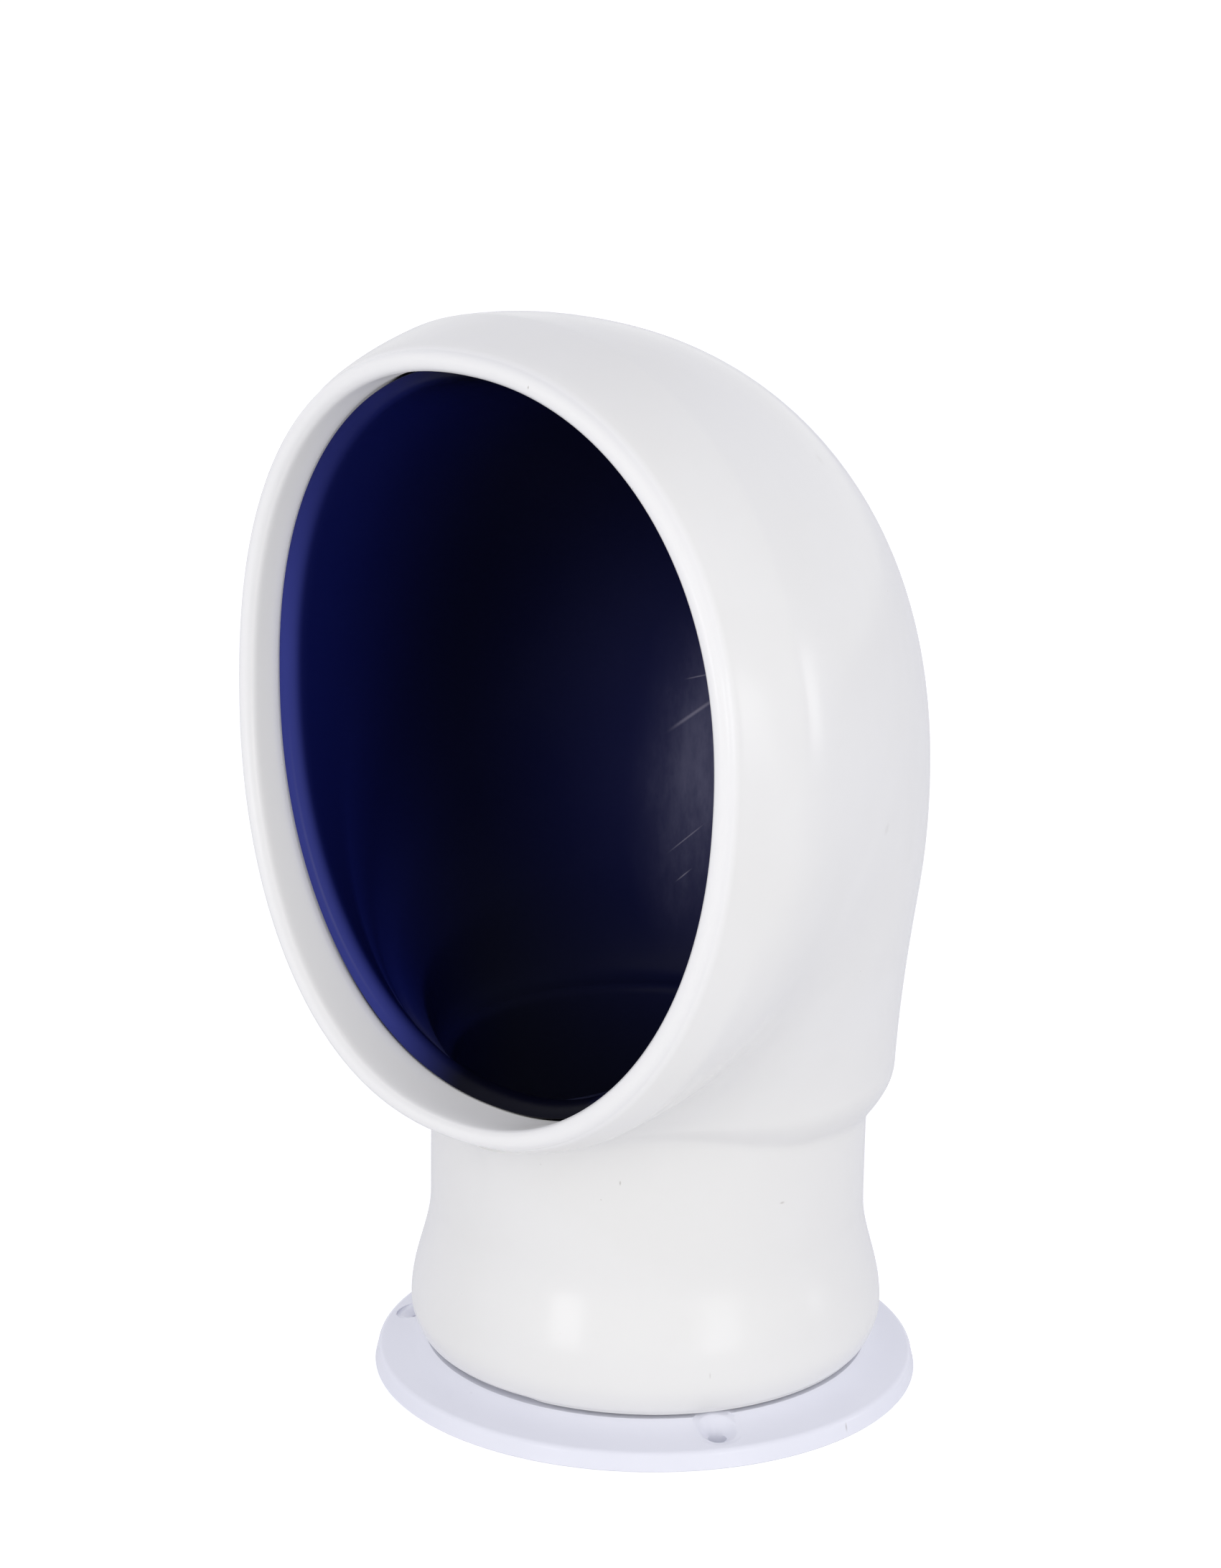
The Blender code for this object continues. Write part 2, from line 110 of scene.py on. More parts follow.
# %% Floor, background and lamps
FLOOR_SIZE = 40.0
FLOOR_GLOW = 0.06
FLOOR_GLOW_SEEN = 0.37
FLOOR_GREY = 0.88
ROOM_LIGHT = 0.935
ROOM_FRONT = (1.19, 1.18, 1.15, 1)
ROOM_BACK = (1.19, 1.195, 1.28, 1)
ROOM_TURN = math.radians(-4)
CEILING = (0.505, 0.51, 0.60, 1)
ROOM_LOBE = (1.52, 1.51, 1.49, 1)
SIDES_BLEND = (-0.5, 0.5)
CEILING_BLEND = (0.2, 0.8)
LOBE_BLEND = (0.55, 1.0)
AIM = Vector((0, 0, 0.14))
CAMERA_AZIMUTH = math.atan2(CAMERA_PLACE.y, CAMERA_PLACE.x)
SOFTBOX_ELEVATION = math.radians(3.5)
SOFTBOX_DISTANCE = 1.8
SOFTBOX_HEIGHT = 0.5
SOFTBOXES = (
    ("softbox_left", -38, 0.5, 1.4),
    ("softbox_right", 36, 0.62, 1.25),
    ("softbox_side", 91, 0.28, 0.95),
)


def link(material, output, socket):
    material.node_tree.links.new(output, socket)


def add_floor():
    """A sheet of pale paper that glows a little more to the camera than to the object."""
    bm = bmesh.new()
    bmesh.ops.create_grid(bm, x_segments=1, y_segments=1, size=FLOOR_SIZE / 2)
    mesh = bpy.data.meshes.new("floor")
    bm.to_mesh(mesh)
    bm.free()
    floor = bpy.data.objects.new("floor", mesh)
    bpy.context.scene.collection.objects.link(floor)
    material = bpy.data.materials.new("floor_paper")
    material.use_nodes = True
    nodes = material.node_tree.nodes
    paper = nodes["Principled BSDF"]
    paper.inputs["Base Color"].default_value = (FLOOR_GREY, FLOOR_GREY, FLOOR_GREY, 1)
    paper.inputs["Roughness"].default_value = 0.9
    paper.inputs["Specular IOR Level"].default_value = 0.1
    rays = nodes.new("ShaderNodeLightPath")
    glow = nodes.new("ShaderNodeMath")
    glow.operation = "MULTIPLY_ADD"
    glow.inputs[1].default_value = FLOOR_GLOW_SEEN
    glow.inputs[2].default_value = FLOOR_GLOW
    link(material, rays.outputs["Is Camera Ray"], glow.inputs[0])
    paper.inputs["Emission Color"].default_value = (1, 1, 1, 1)
    link(material, glow.outputs[0], paper.inputs["Emission Strength"])
    mesh.materials.append(material)
    floor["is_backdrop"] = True


def add_room():
    """Light that changes softly with direction; to the camera and in reflections it is plain white."""
    world = bpy.data.worlds.new("room")
    bpy.context.scene.world = world
    world.use_nodes = True
    tree = world.node_tree
    light = tree.nodes["Background"]
    light.inputs["Strength"].default_value = ROOM_LIGHT
    direction = tree.nodes.new("ShaderNodeTexCoord")
    colour = ROOM_BACK
    brightest = CAMERA_AZIMUTH + ROOM_TURN
    for toward, (start, end), other in (
        ((math.cos(brightest), math.sin(brightest), 0), SIDES_BLEND, ROOM_FRONT),
        ((0, 0, 1), CEILING_BLEND, CEILING),
        ((CAMERA_PLACE - AIM).normalized(), LOBE_BLEND, ROOM_LOBE),
    ):
        along = tree.nodes.new("ShaderNodeVectorMath")
        along.operation = "DOT_PRODUCT"
        along.inputs[1].default_value = toward
        tree.links.new(direction.outputs["Generated"], along.inputs[0])
        share = tree.nodes.new("ShaderNodeMapRange")
        share.interpolation_type = "SMOOTHSTEP"
        share.inputs["From Min"].default_value = start
        share.inputs["From Max"].default_value = end
        tree.links.new(along.outputs["Value"], share.inputs["Value"])
        shade = tree.nodes.new("ShaderNodeMix")
        shade.data_type = "RGBA"
        tree.links.new(share.outputs["Result"], shade.inputs["Factor"])
        if isinstance(colour, tuple):
            shade.inputs["A"].default_value = colour
        else:
            tree.links.new(colour, shade.inputs["A"])
        shade.inputs["B"].default_value = other
        colour = shade.outputs["Result"]
    tree.links.new(colour, light.inputs["Color"])
    white = tree.nodes.new("ShaderNodeBackground")
    white.inputs["Color"].default_value = (1, 1, 1, 1)
    white.inputs["Strength"].default_value = 1.0
    rays = tree.nodes.new("ShaderNodeLightPath")
    seen = tree.nodes.new("ShaderNodeMath")
    seen.operation = "MAXIMUM"
    mix = tree.nodes.new("ShaderNodeMixShader")
    tree.links.new(rays.outputs["Is Camera Ray"], seen.inputs[0])
    tree.links.new(rays.outputs["Is Glossy Ray"], seen.inputs[1])
    tree.links.new(seen.outputs[0], mix.inputs["Fac"])
    tree.links.new(light.outputs[0], mix.inputs[1])
    tree.links.new(white.outputs[0], mix.inputs[2])
    tree.links.new(mix.outputs[0], tree.nodes["World Output"].inputs["Surface"])


def add_softbox(name, turn, width, watts):
    """A lamp that faces the cowl; turn is in degrees from the camera, to the right where positive."""
    azimuth = CAMERA_AZIMUTH + math.radians(turn)
    level, rise = math.cos(SOFTBOX_ELEVATION), math.sin(SOFTBOX_ELEVATION)
    out = Vector((math.cos(azimuth) * level, math.sin(azimuth) * level, rise))
    lamp = bpy.data.lights.new(name, "AREA")
    lamp.shape = "RECTANGLE"
    lamp.size = width
    lamp.size_y = SOFTBOX_HEIGHT
    lamp.energy = watts
    box = bpy.data.objects.new(name, lamp)
    box.location = AIM + out * SOFTBOX_DISTANCE
    box.rotation_euler = out.to_track_quat("Z", "Y").to_euler()
    bpy.context.scene.collection.objects.link(box)


add_floor()
add_room()
for softbox in SOFTBOXES:
    add_softbox(*softbox)
bpy.context.scene.view_settings.view_transform = "Standard"

# %% [markdown]
# ## One closed curve at a time
#
# The cowl and its liner are hollow bends whose section changes from a round neck to an egg-shaped
# mouth. They could be sculpted, or swept along a curve, but a mould maker draws such a bend as a
# ladder of closed curves, and so does this script. A `Ring` is one such curve: its top and bottom
# points in the middle plane, its half-width, how square it is (a superellipse's power), how far its
# widest place sits above its middle (egg), how far its sides stand ahead of the middle plane
# (saddle), and how far its lower quarters are lifted (lift), where the throat's two creases climb
# to meet.

# %% A ring and its points
AROUND = 144
Ring = namedtuple("Ring", "top low half_width power egg saddle lift", defaults=(0.0, 0.0, 0.0))


def signed_power(value, power):
    return math.copysign(abs(value) ** (2 / power), value)


def unit(y, z):
    length = math.hypot(y, z)
    return y / length, z / length


def ring_place(ring, step):
    """Where corner number step of a ring stands, counted from the top round by +X."""
    angle = 2 * math.pi * step / AROUND
    centre = [(a + b) / 2 for a, b in zip(ring.top, ring.low)]
    reach = [(a - b) / 2 for a, b in zip(ring.top, ring.low)]
    up_y, up_z = unit(*reach)
    side = signed_power(math.sin(angle), ring.power)
    rise = signed_power(math.cos(angle), ring.power)
    ahead = ring.saddle * math.sin(angle) ** 2
    if math.cos(angle) < 0:
        ahead -= ring.lift * math.sin(2 * angle) ** 2
    x = ring.half_width * side * (1 + ring.egg * math.cos(angle))
    return Vector((x, centre[0] + rise * reach[0] + ahead * up_z, centre[1] + rise * reach[1] - ahead * up_y))


def level_ring(radius, level):
    """A plain circle round the neck's axis."""
    return Ring((radius, level), (-radius, level), radius, 2.0)


print("corners round each ring:", AROUND)

# %% [markdown]
# ## From a circle to a wall
#
# A loft grows from one circle. The circle's edges are extruded, the new corners move to the next
# ring's places, and so on round the whole wall until the last ring meets the first and the two are
# bridged. Each corner carries its number in an integer layer, which an extrusion copies, so every new
# corner knows its place on the ring. It also carries its row's zone, a number that a finish reads as an
# attribute to tell the lip from the hood, or the liner's rim from its wall. Where a moulding is soft,
# `soften` rounds one crease and `relax` evens out a stretch of wall before the loft is grown. One
# level of subdivision then rounds the facets away.

# %% Loft and finish
SUBDIVISION = 1
SOFTEN_LIMIT = 3
SOFTEN_FADE = 1.5
RELAX_LEAST = 0.001


def rows_of(rings):
    return [[ring_place(ring, step) for step in range(AROUND)] for ring in rings]


def soften(rows, centre, reach_at):
    """Rounds the crease at row number centre; reach_at(step) is how far along the wall it is rounded."""
    softened = [row[:] for row in rows]
    for step in range(AROUND):
        reach = reach_at(step)
        line = [row[step] for row in rows]
        run = [0.0]
        for first, second in zip(line, line[1:]):
            run.append(run[-1] + (second - first).length)
        run = [length - run[centre] for length in run]
        for number, length in enumerate(run):
            if abs(length) > SOFTEN_LIMIT * reach:
                continue
            total, weight = Vector((0, 0, 0)), 0.0
            for other in range(1, len(line) - 1):
                near = math.exp(-(((run[other] - length) / reach) ** 2)) * (run[other + 1] - run[other - 1])
                total += line[other] * near
                weight += near
            share = math.exp(-((length / (SOFTEN_FADE * reach)) ** 2))
            softened[number][step] = line[number].lerp(total / weight, share)
    return softened


def relax(rows, row_share, step_share, passes):
    """Evens out part of a wall: each corner moves towards the middle of its four neighbours."""
    shares = {}
    for number in range(1, len(rows) - 1):
        for step in range(AROUND):
            share = row_share(number) * step_share(step) / 2
            if share > RELAX_LEAST:
                shares[number, step] = share
    for _ in range(passes):
        moved = {}
        for (number, step), share in shares.items():
            row = rows[number]
            middle = rows[number - 1][step] + rows[number + 1][step] + row[step - 1] + row[(step + 1) % AROUND]
            moved[number, step] = row[step].lerp(middle / 4, share)
        for (number, step), corner in moved.items():
            rows[number][step] = corner


def ramp(value, start, end):
    """0 before start, 1 after end, and smooth between."""
    share = min(max((value - start) / (end - start), 0), 1)
    return share * share * (3 - 2 * share)


def grow_loft(rows, zones):
    """A wall through rows of corners; each row has its own value of the attribute that finishes read."""
    bm = bmesh.new()
    number = bm.verts.layers.int.new("around")
    zone = bm.verts.layers.float.new("zone")
    circle = bmesh.ops.create_circle(bm, cap_ends=False, radius=1, segments=AROUND)["verts"]
    for step, corner in enumerate(circle):
        corner[number] = step
        corner.co = rows[0][step]
        corner[zone] = zones[0]
    first = bm.edges[:]
    rim = first
    for row, value in zip(rows[1:], zones[1:]):
        grown = bmesh.ops.extrude_edge_only(bm, edges=rim)["geom"]
        rim = [part for part in grown if isinstance(part, bmesh.types.BMEdge)]
        for corner in (part for part in grown if isinstance(part, bmesh.types.BMVert)):
            corner.co = row[corner[number]]
            corner[zone] = value
    bmesh.ops.bridge_loops(bm, edges=first + rim)
    return bm


def finish_piece(name, bm, node, body):
    """Closes a bmesh into a smooth piece that stands for a CAD node and rides on its body."""
    bmesh.ops.recalc_face_normals(bm, faces=bm.faces[:])
    open_edges = sum(not edge.is_manifold for edge in bm.edges)
    print(f"{name}: {len(bm.faces)} faces, {open_edges} open edges, {bm.calc_volume() * 1e6:.1f} cm3")
    mesh = bpy.data.meshes.new(name)
    bm.to_mesh(mesh)
    bm.free()
    mesh.shade_smooth()
    piece = bpy.data.objects.new(name, mesh)
    bpy.context.scene.collection.objects.link(piece)
    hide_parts(node)
    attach(piece, body)
    return piece


def round_off(piece):
    """Rounds a piece's facets by subdivision."""
    smooth = piece.modifiers.new("rounding", "SUBSURF")
    smooth.levels = SUBDIVISION
    smooth.render_levels = SUBDIVISION


print("subdivision levels:", SUBDIVISION)

# %% [markdown]
# ## The mouth
#
# The mouth is an upright egg in a plane that leans back a little, with a bow in its lip: the sides
# stand about 5 mm ahead of the top and bottom. Every curve near the mouth is a copy of this one,
# grown outwards by an offset and set back by a depth.

# %% The mouth's curve
MOUTH_HALF_WIDTH = 86.1 * MM
MOUTH_HALF_HEIGHT = 97.3 * MM
MOUTH_LEVEL = 184.8 * MM
MOUTH_REACH = 71.6 * MM
MOUTH_LEAN = math.radians(1.65)
MOUTH_POWER = 2.18
MOUTH_EGG = 0.04
MOUTH_BOW = 5.2 * MM


def mouth_point(height, distance):
    """(y, z) at a height in the mouth's leaning plane and a distance ahead of the axis."""
    lean_sin, lean_cos = math.sin(MOUTH_LEAN), math.cos(MOUTH_LEAN)
    return height * lean_sin - distance * lean_cos, height * lean_cos + distance * lean_sin


def mouth_ring(offset, depth, depth_low=None, saddle=MOUTH_BOW):
    depth_low = depth if depth_low is None else depth_low
    half = MOUTH_HALF_HEIGHT + offset
    top = mouth_point(MOUTH_LEVEL + half, MOUTH_REACH + MOUTH_BOW - depth)
    low = mouth_point(MOUTH_LEVEL - half, MOUTH_REACH + MOUTH_BOW - depth_low)
    return Ring(top, low, MOUTH_HALF_WIDTH + offset, MOUTH_POWER, MOUTH_EGG, saddle)


print("mouth inside:", round(2 * MOUTH_HALF_WIDTH / MM), "by", round(2 * MOUTH_HALF_HEIGHT / MM), "mm")

# %% [markdown]
# ## The hood's back
#
# Behind the mouth the hood runs back and down to a bulge above the neck. Its back line is a quarter
# of a superellipse with a short straight below. The rings are spread evenly along that line, and
# their half-widths and saddles follow smooth curves through a few measured values.

# %% Hood rings
NECK_RADIUS = 59.6 * MM
NECK_LEVEL = 62.8 * MM
COLLAR_FLARE = 13.2 * MM
COLLAR_SPREAD = 14.4 * MM
COLLAR_DEPTH = 20.0 * MM
THROAT_STEP = 0.9 * MM
THROAT_LEVEL = 81.5 * MM
THROAT_LIFT = 6.1 * MM
BACK_REACH = 68.94 * MM
BACK_LEVEL = 158.16 * MM
BACK_POWER = 2.07
BULB_RADIUS = 66.54 * MM
BULB_LEVEL = 88.07 * MM
BULB_DROP = 1.3 * MM
HOOD_HALF_WIDTHS = (91.29 * MM, 78.1 * MM)
HOOD_SADDLE = -5.06 * MM
HOOD_STEPS = 32

CREASE = Ring(
    top=mouth_ring(COLLAR_FLARE, COLLAR_DEPTH).top,
    low=(-(NECK_RADIUS + THROAT_STEP), THROAT_LEVEL),
    half_width=MOUTH_HALF_WIDTH + COLLAR_SPREAD,
    power=2.22,
    egg=-0.029,
    saddle=6.3 * MM,
)
BULB = Ring(
    top=(BULB_RADIUS, BULB_LEVEL),
    low=(-(NECK_RADIUS + THROAT_STEP / 2), THROAT_LEVEL - BULB_DROP),
    half_width=BULB_RADIUS,
    power=2.0,
    saddle=-8.0 * MM,
    lift=THROAT_LIFT,
)
NECK_CREASE = Ring(
    top=(NECK_RADIUS, 70.3 * MM),
    low=(-NECK_RADIUS, 78.6 * MM),
    half_width=NECK_RADIUS,
    power=2.0,
    saddle=-5.2 * MM,
    lift=THROAT_LIFT,
)


def spline_through(values):
    """A smooth curve through evenly spaced values, as a function of 0 to 1."""

    def at(share):
        place = share * (len(values) - 1)
        left = min(int(place), len(values) - 2)
        part = place - left
        before, after = values[max(left - 1, 0)], values[min(left + 2, len(values) - 1)]
        start, end = values[left], values[left + 1]
        slope_in, slope_out = (end - before) / 2, (after - start) / 2
        square, cube = part**2, part**3
        start_part = (2 * cube - 3 * square + 1) * start + (cube - 2 * square + part) * slope_in
        return start_part + (3 * square - 2 * cube) * end + (cube - square) * slope_out

    return at


def back_line(count):
    """(y, z) points of the hood's back from crease to bulb, evenly spaced along it."""
    start_y, start_z = CREASE.top
    fine = 400
    path = []
    for step in range(fine):
        angle = math.pi / 2 * step / (fine - 1)
        y = start_y + (BACK_REACH - start_y) * math.sin(angle) ** (2 / BACK_POWER)
        path.append((y, BACK_LEVEL + (start_z - BACK_LEVEL) * math.cos(angle) ** (2 / BACK_POWER)))
    for step in range(1, fine):
        share = step / (fine - 1)
        y = BACK_REACH + (BULB_RADIUS - BACK_REACH) * share
        path.append((y, BACK_LEVEL + (BULB_LEVEL - BACK_LEVEL) * share))
    run = [0.0]
    for first, second in zip(path, path[1:]):
        run.append(run[-1] + math.dist(first, second))
    points = []
    for step in range(count + 1):
        goal = run[-1] * step / count
        place = max(next(i for i, length in enumerate(run) if length >= goal - 1e-12), 1)
        part = (goal - run[place - 1]) / (run[place] - run[place - 1])
        points.append(tuple(a + (b - a) * part for a, b in zip(path[place - 1], path[place])))
    return points


half_width_at = spline_through([CREASE.half_width, *HOOD_HALF_WIDTHS, BULB.half_width])
saddle_at = spline_through([CREASE.saddle, HOOD_SADDLE, BULB.saddle])
BACK = back_line(HOOD_STEPS)
print("hood's back reaches", round(max(y for y, z in BACK) / MM, 1), "mm behind the axis")


def hood_ring(step, inset, low):
    """The hood's ring at a step along its back, moved inwards by inset, with a given low point."""
    share = step / HOOD_STEPS
    before, after = BACK[max(step - 1, 0)], BACK[min(step + 1, HOOD_STEPS)]
    along_y, along_z = unit(after[0] - before[0], after[1] - before[1])
    top = (BACK[step][0] + inset * along_z, BACK[step][1] - inset * along_y)
    power = CREASE.power + (BULB.power - CREASE.power) * share
    half_width = half_width_at(share) - inset
    return Ring(top, low, half_width, power, CREASE.egg * (1 - share), saddle_at(share), THROAT_LIFT * share)


def hood_rings(inset, low_start, low_end, bend=False):
    """Rings from the collar's crease to the bulb; the low points run straight or round a bend."""
    rings = []
    for step in range(HOOD_STEPS + 1):
        turn = step / HOOD_STEPS * math.pi / 2
        share_y = math.sin(turn) if bend else step / HOOD_STEPS
        share_z = 1 - math.cos(turn) if bend else step / HOOD_STEPS
        low_y = low_start[0] + (low_end[0] - low_start[0]) * share_y
        low_z = low_start[1] + (low_end[1] - low_start[1]) * share_z
        rings.append(hood_ring(step, inset, (low_y, low_z)))
    return rings


def between(first, second, share, share_out=None):
    """A ring part of the way from one to the next; share_out is the part of the way sideways."""
    share_out = share if share_out is None else share_out

    def part(name, way):
        return getattr(first, name) + (getattr(second, name) - getattr(first, name)) * way

    def point(a, b):
        return a[0] + (b[0] - a[0]) * share_out, a[1] + (b[1] - a[1]) * share

    return Ring(
        point(first.top, second.top),
        point(first.low, second.low),
        part("half_width", share_out),
        part("power", share),
        part("egg", share),
        part("saddle", share),
        part("lift", share),
    )


# %% [markdown]
# ## The cowl's outside
#
# From the bottom up: a lower edge that was cut by hand, so that it waves a little and has one small
# step; a foot that swells over the flange's collar; the straight neck; a crease that is sharp at the
# back and fades at the front; the hood; a soft crease; the collar; and the round bead of the lip. The
# two creases climb and meet at the throat, and there the wall is evened out, because a soft moulding
# has no sharp meeting point.

# %% Outer face, from the lower edge to the lip
BASE_RADIUS = 65.0 * MM
BASE_LEVEL = 20.0 * MM
BASE_FADE = 30.0 * MM
EDGE_RADIUS = 61.1 * MM
EDGE_LEVEL = 9.9 * MM
EDGE_ROUND = 0.6 * MM
BEAD_RADIUS = 2.74 * MM
COLLAR_SWELL = 0.7 * MM
COLLAR_SHOULDER = 0.7 * MM
SHOULDER_SHARE = 0.1
CREASE_REACH = 2.6 * MM
CREASE_OPENING = 6.4 * MM
NECK_CREASE_REACH = 0.9 * MM
NECK_CREASE_OPENING = 5.0 * MM
TRIM_WAVE = 0.1 * MM
TRIM_STEP = 0.5 * MM
TRIM_ANGLE = math.radians(163)
TRIM_FADE = math.radians(50)
FOOT_STEPS = 8
FADE_STEPS = 14
CREASE_STEPS = 8
COLLAR_STEPS = 14
BEAD_STEPS = 10
THROAT_START = (5, 14)
THROAT_END = (8, 2)
THROAT_SIDES = (-0.1, -0.6)
THROAT_PASSES = 90


def foot_rings():
    rings = []
    for step in range(4):
        turn = math.pi / 2 * step / 3
        out = EDGE_ROUND * (1 - math.sin(turn))
        rings.append(level_ring(EDGE_RADIUS - out, EDGE_LEVEL + EDGE_ROUND * (1 - math.cos(turn))))
    for step in range(1, FOOT_STEPS):
        share = 1 - step / FOOT_STEPS
        radius = BASE_RADIUS - (BASE_RADIUS - EDGE_RADIUS) * share**2
        rings.append(level_ring(radius, BASE_LEVEL - (BASE_LEVEL - EDGE_LEVEL) * share))
    for step in range(FADE_STEPS + 1):
        share = step / FADE_STEPS
        fullness = (1 + math.cos(math.pi * share)) / 2
        radius = NECK_RADIUS + (BASE_RADIUS - NECK_RADIUS) * fullness
        rings.append(level_ring(radius, BASE_LEVEL + BASE_FADE * share))
    return rings


def collar_ring(share):
    """Part of the way from the bead back to the soft crease, with a shoulder behind the bead."""
    shoulder = COLLAR_SHOULDER * min(share / SHOULDER_SHARE, 1) * (1 - share) ** 2
    swell = COLLAR_SWELL * math.sin(share * math.pi) + shoulder
    plain = between(mouth_ring(2 * BEAD_RADIUS, 0), CREASE, share)
    return plain._replace(
        top=(plain.top[0], plain.top[1] + swell),
        low=(plain.low[0], plain.low[1] - swell),
        half_width=plain.half_width + swell,
    )


def bead_rings():
    rings = []
    for step in range(BEAD_STEPS + 1):
        turn = math.pi * step / BEAD_STEPS
        offset = BEAD_RADIUS * (1 + math.cos(turn))
        rings.append(mouth_ring(offset, -BEAD_RADIUS * math.sin(turn)))
    return rings


def cowl_outside():
    rings = foot_rings()
    neck_end = level_ring(NECK_RADIUS, NECK_LEVEL)
    rings += [level_ring(NECK_RADIUS, (BASE_LEVEL + BASE_FADE + NECK_LEVEL) / 2), neck_end]
    rings += [between(neck_end, NECK_CREASE, share) for share in (0.5, 0.85, 1.0)]
    for step in range(1, CREASE_STEPS):
        share = step / CREASE_STEPS
        rings.append(between(NECK_CREASE, BULB, share, math.sin(share * math.pi / 2)))
    rings += reversed(hood_rings(0, CREASE.low, BULB.low))
    rings += [collar_ring(step / COLLAR_STEPS) for step in range(COLLAR_STEPS - 1, 0, -1)]
    return rings + bead_rings()


def trim_edge(rows):
    """The foot's edge was cut by hand: it waves a little and has one small step."""
    for step in range(AROUND):
        angle = 2 * math.pi * step / AROUND
        rise = TRIM_WAVE * (math.sin(2 * angle + 1) + 0.6 * math.sin(5 * angle))
        past = angle - TRIM_ANGLE
        if past > 0:
            rise += TRIM_STEP * math.exp(-past / TRIM_FADE)
        for row in rows:
            row[step].z += rise


def crease_reach(step):
    """The collar's crease is tight over the top and opens into a soft valley down the sides."""
    fall = (1 - math.cos(2 * math.pi * step / AROUND)) / 2
    return CREASE_REACH + CREASE_OPENING * fall


def neck_crease_reach(step):
    """The crease above the neck is tight at the back and fades out under the lip."""
    front = (1 - math.cos(2 * math.pi * step / AROUND)) / 2
    return NECK_CREASE_REACH + NECK_CREASE_OPENING * front**4


def throat_rows(number):
    """How far a row takes part in the evening out: from above the neck's crease to near the collar's."""
    start, end = (neck_crease + rows for rows in THROAT_START)
    late, last = (collar_crease + rows for rows in THROAT_END)
    return ramp(number, start, end) * ramp(number, late, last)


def throat_steps(step):
    """How far a corner round a row takes part: fully under the mouth, and not at all on top."""
    return ramp(math.cos(2 * math.pi * step / AROUND), *THROAT_SIDES)


outside = cowl_outside()
wall = rows_of(outside)
collar_crease = outside.index(hood_ring(0, 0, CREASE.low))
neck_crease = outside.index(NECK_CREASE)
trim_edge(wall[:4])
wall = soften(wall, collar_crease, crease_reach)
wall = soften(wall, neck_crease, neck_crease_reach)
relax(wall, throat_rows, throat_steps, THROAT_PASSES)
print("rings outside:", len(outside), "creases at", neck_crease, "and", collar_crease)

# %% [markdown]
# ## The cowl's inside
#
# Inside the lip a plain band runs back to the liner, and there the wall steps out behind the liner's
# rim. Lower down the wall holds the groove that snaps over the flange's collar. Most of this is out
# of sight, but it is drawn through to the foot, because the wall has a real thickness there. The
# zone is 1 on the lip's bead, 2 on the band and 0 elsewhere.

# %% Inner face, from the lip down to the lower edge
SHELL_WALL = 3.0 * MM
GRIP_WALL = 3.5 * MM
GRIP_HEIGHT = 4.0 * MM
GRIP_END = BASE_LEVEL + 0.55 * BASE_FADE
GROOVE_HALF = 2.0 * MM
BAND_FLARE = 1.0 * MM
RIM_THICKNESS = 4.2 * MM
RIM_DEPTH_TOP = 12.0 * MM
RIM_DEPTH_LOW = 16.0 * MM
BAND_PAST_RIM = 0.8 * MM
LINING_DROP = 2.0 * MM
BAND_STEPS = 5
LIP_ZONE = 1.0
LIP_TO_BAND = (1.3, 1.7)
BAND_ZONE = 2.0


def shell_lining(step, gap):
    """The shell's inner face at a step of the hood, moved inwards by a gap."""
    band_end = RIM_DEPTH_LOW + RIM_THICKNESS / 2 + BAND_PAST_RIM
    low_start = mouth_ring(BAND_FLARE, 0, band_end).low
    start = (low_start[0] + gap, low_start[1] + gap)
    end = (gap - (NECK_RADIUS - SHELL_WALL), BULB.low[1] + gap)
    return hood_rings(SHELL_WALL + gap, start, end, bend=True)[step]


def neck_lining(gap):
    """The shell's inner face from below the bulb to the neck, moved inwards by a gap."""
    radius = NECK_RADIUS - SHELL_WALL - gap
    turned = NECK_CREASE._replace(
        top=(radius, NECK_CREASE.top[1] + LINING_DROP),
        low=(-radius, BULB.low[1] - LINING_DROP),
        half_width=radius,
    )
    bulb = shell_lining(HOOD_STEPS, gap)
    rings = [between(bulb, turned, share, 1 - math.cos(share * math.pi / 2)) for share in (0.25, 0.5, 0.75)]
    return rings + [turned, level_ring(radius, NECK_LEVEL)]


def cowl_inside():
    rings = []
    for step in range(1, BAND_STEPS + 1):
        share = step / BAND_STEPS
        bow = MOUTH_BOW * (1 - share)
        rings.append(mouth_ring(BAND_FLARE * share, RIM_DEPTH_TOP * share, RIM_DEPTH_LOW * share, bow))
    rings += [shell_lining(step, 0) for step in range(2, HOOD_STEPS + 1)]
    rings += neck_lining(0)
    deep = BASE_RADIUS - GRIP_WALL
    grip = EDGE_RADIUS - GRIP_WALL
    for radius, level in (
        (NECK_RADIUS - SHELL_WALL, GRIP_END),
        (deep, BASE_LEVEL + GROOVE_HALF),
        (deep, BASE_LEVEL - GROOVE_HALF),
        (grip, EDGE_LEVEL + GRIP_HEIGHT),
        (grip, EDGE_LEVEL + EDGE_ROUND),
        (grip + EDGE_ROUND, EDGE_LEVEL),
    ):
        rings.append(level_ring(radius, level))
    return rings


lining = rows_of(cowl_inside())
trim_edge(lining[-2:])
zones = [0.0] * (len(wall) - BEAD_STEPS - 1)
zones += [LIP_ZONE] * (BEAD_STEPS - len(LIP_TO_BAND))
zones += [*LIP_TO_BAND] + [BAND_ZONE] * (BAND_STEPS + 1)
zones += [0.0] * (len(wall + lining) - len(zones))
cowl = finish_piece("cowl_moulding", grow_loft(wall + lining, zones), "cowl_shell", "cowl")
round_off(cowl)

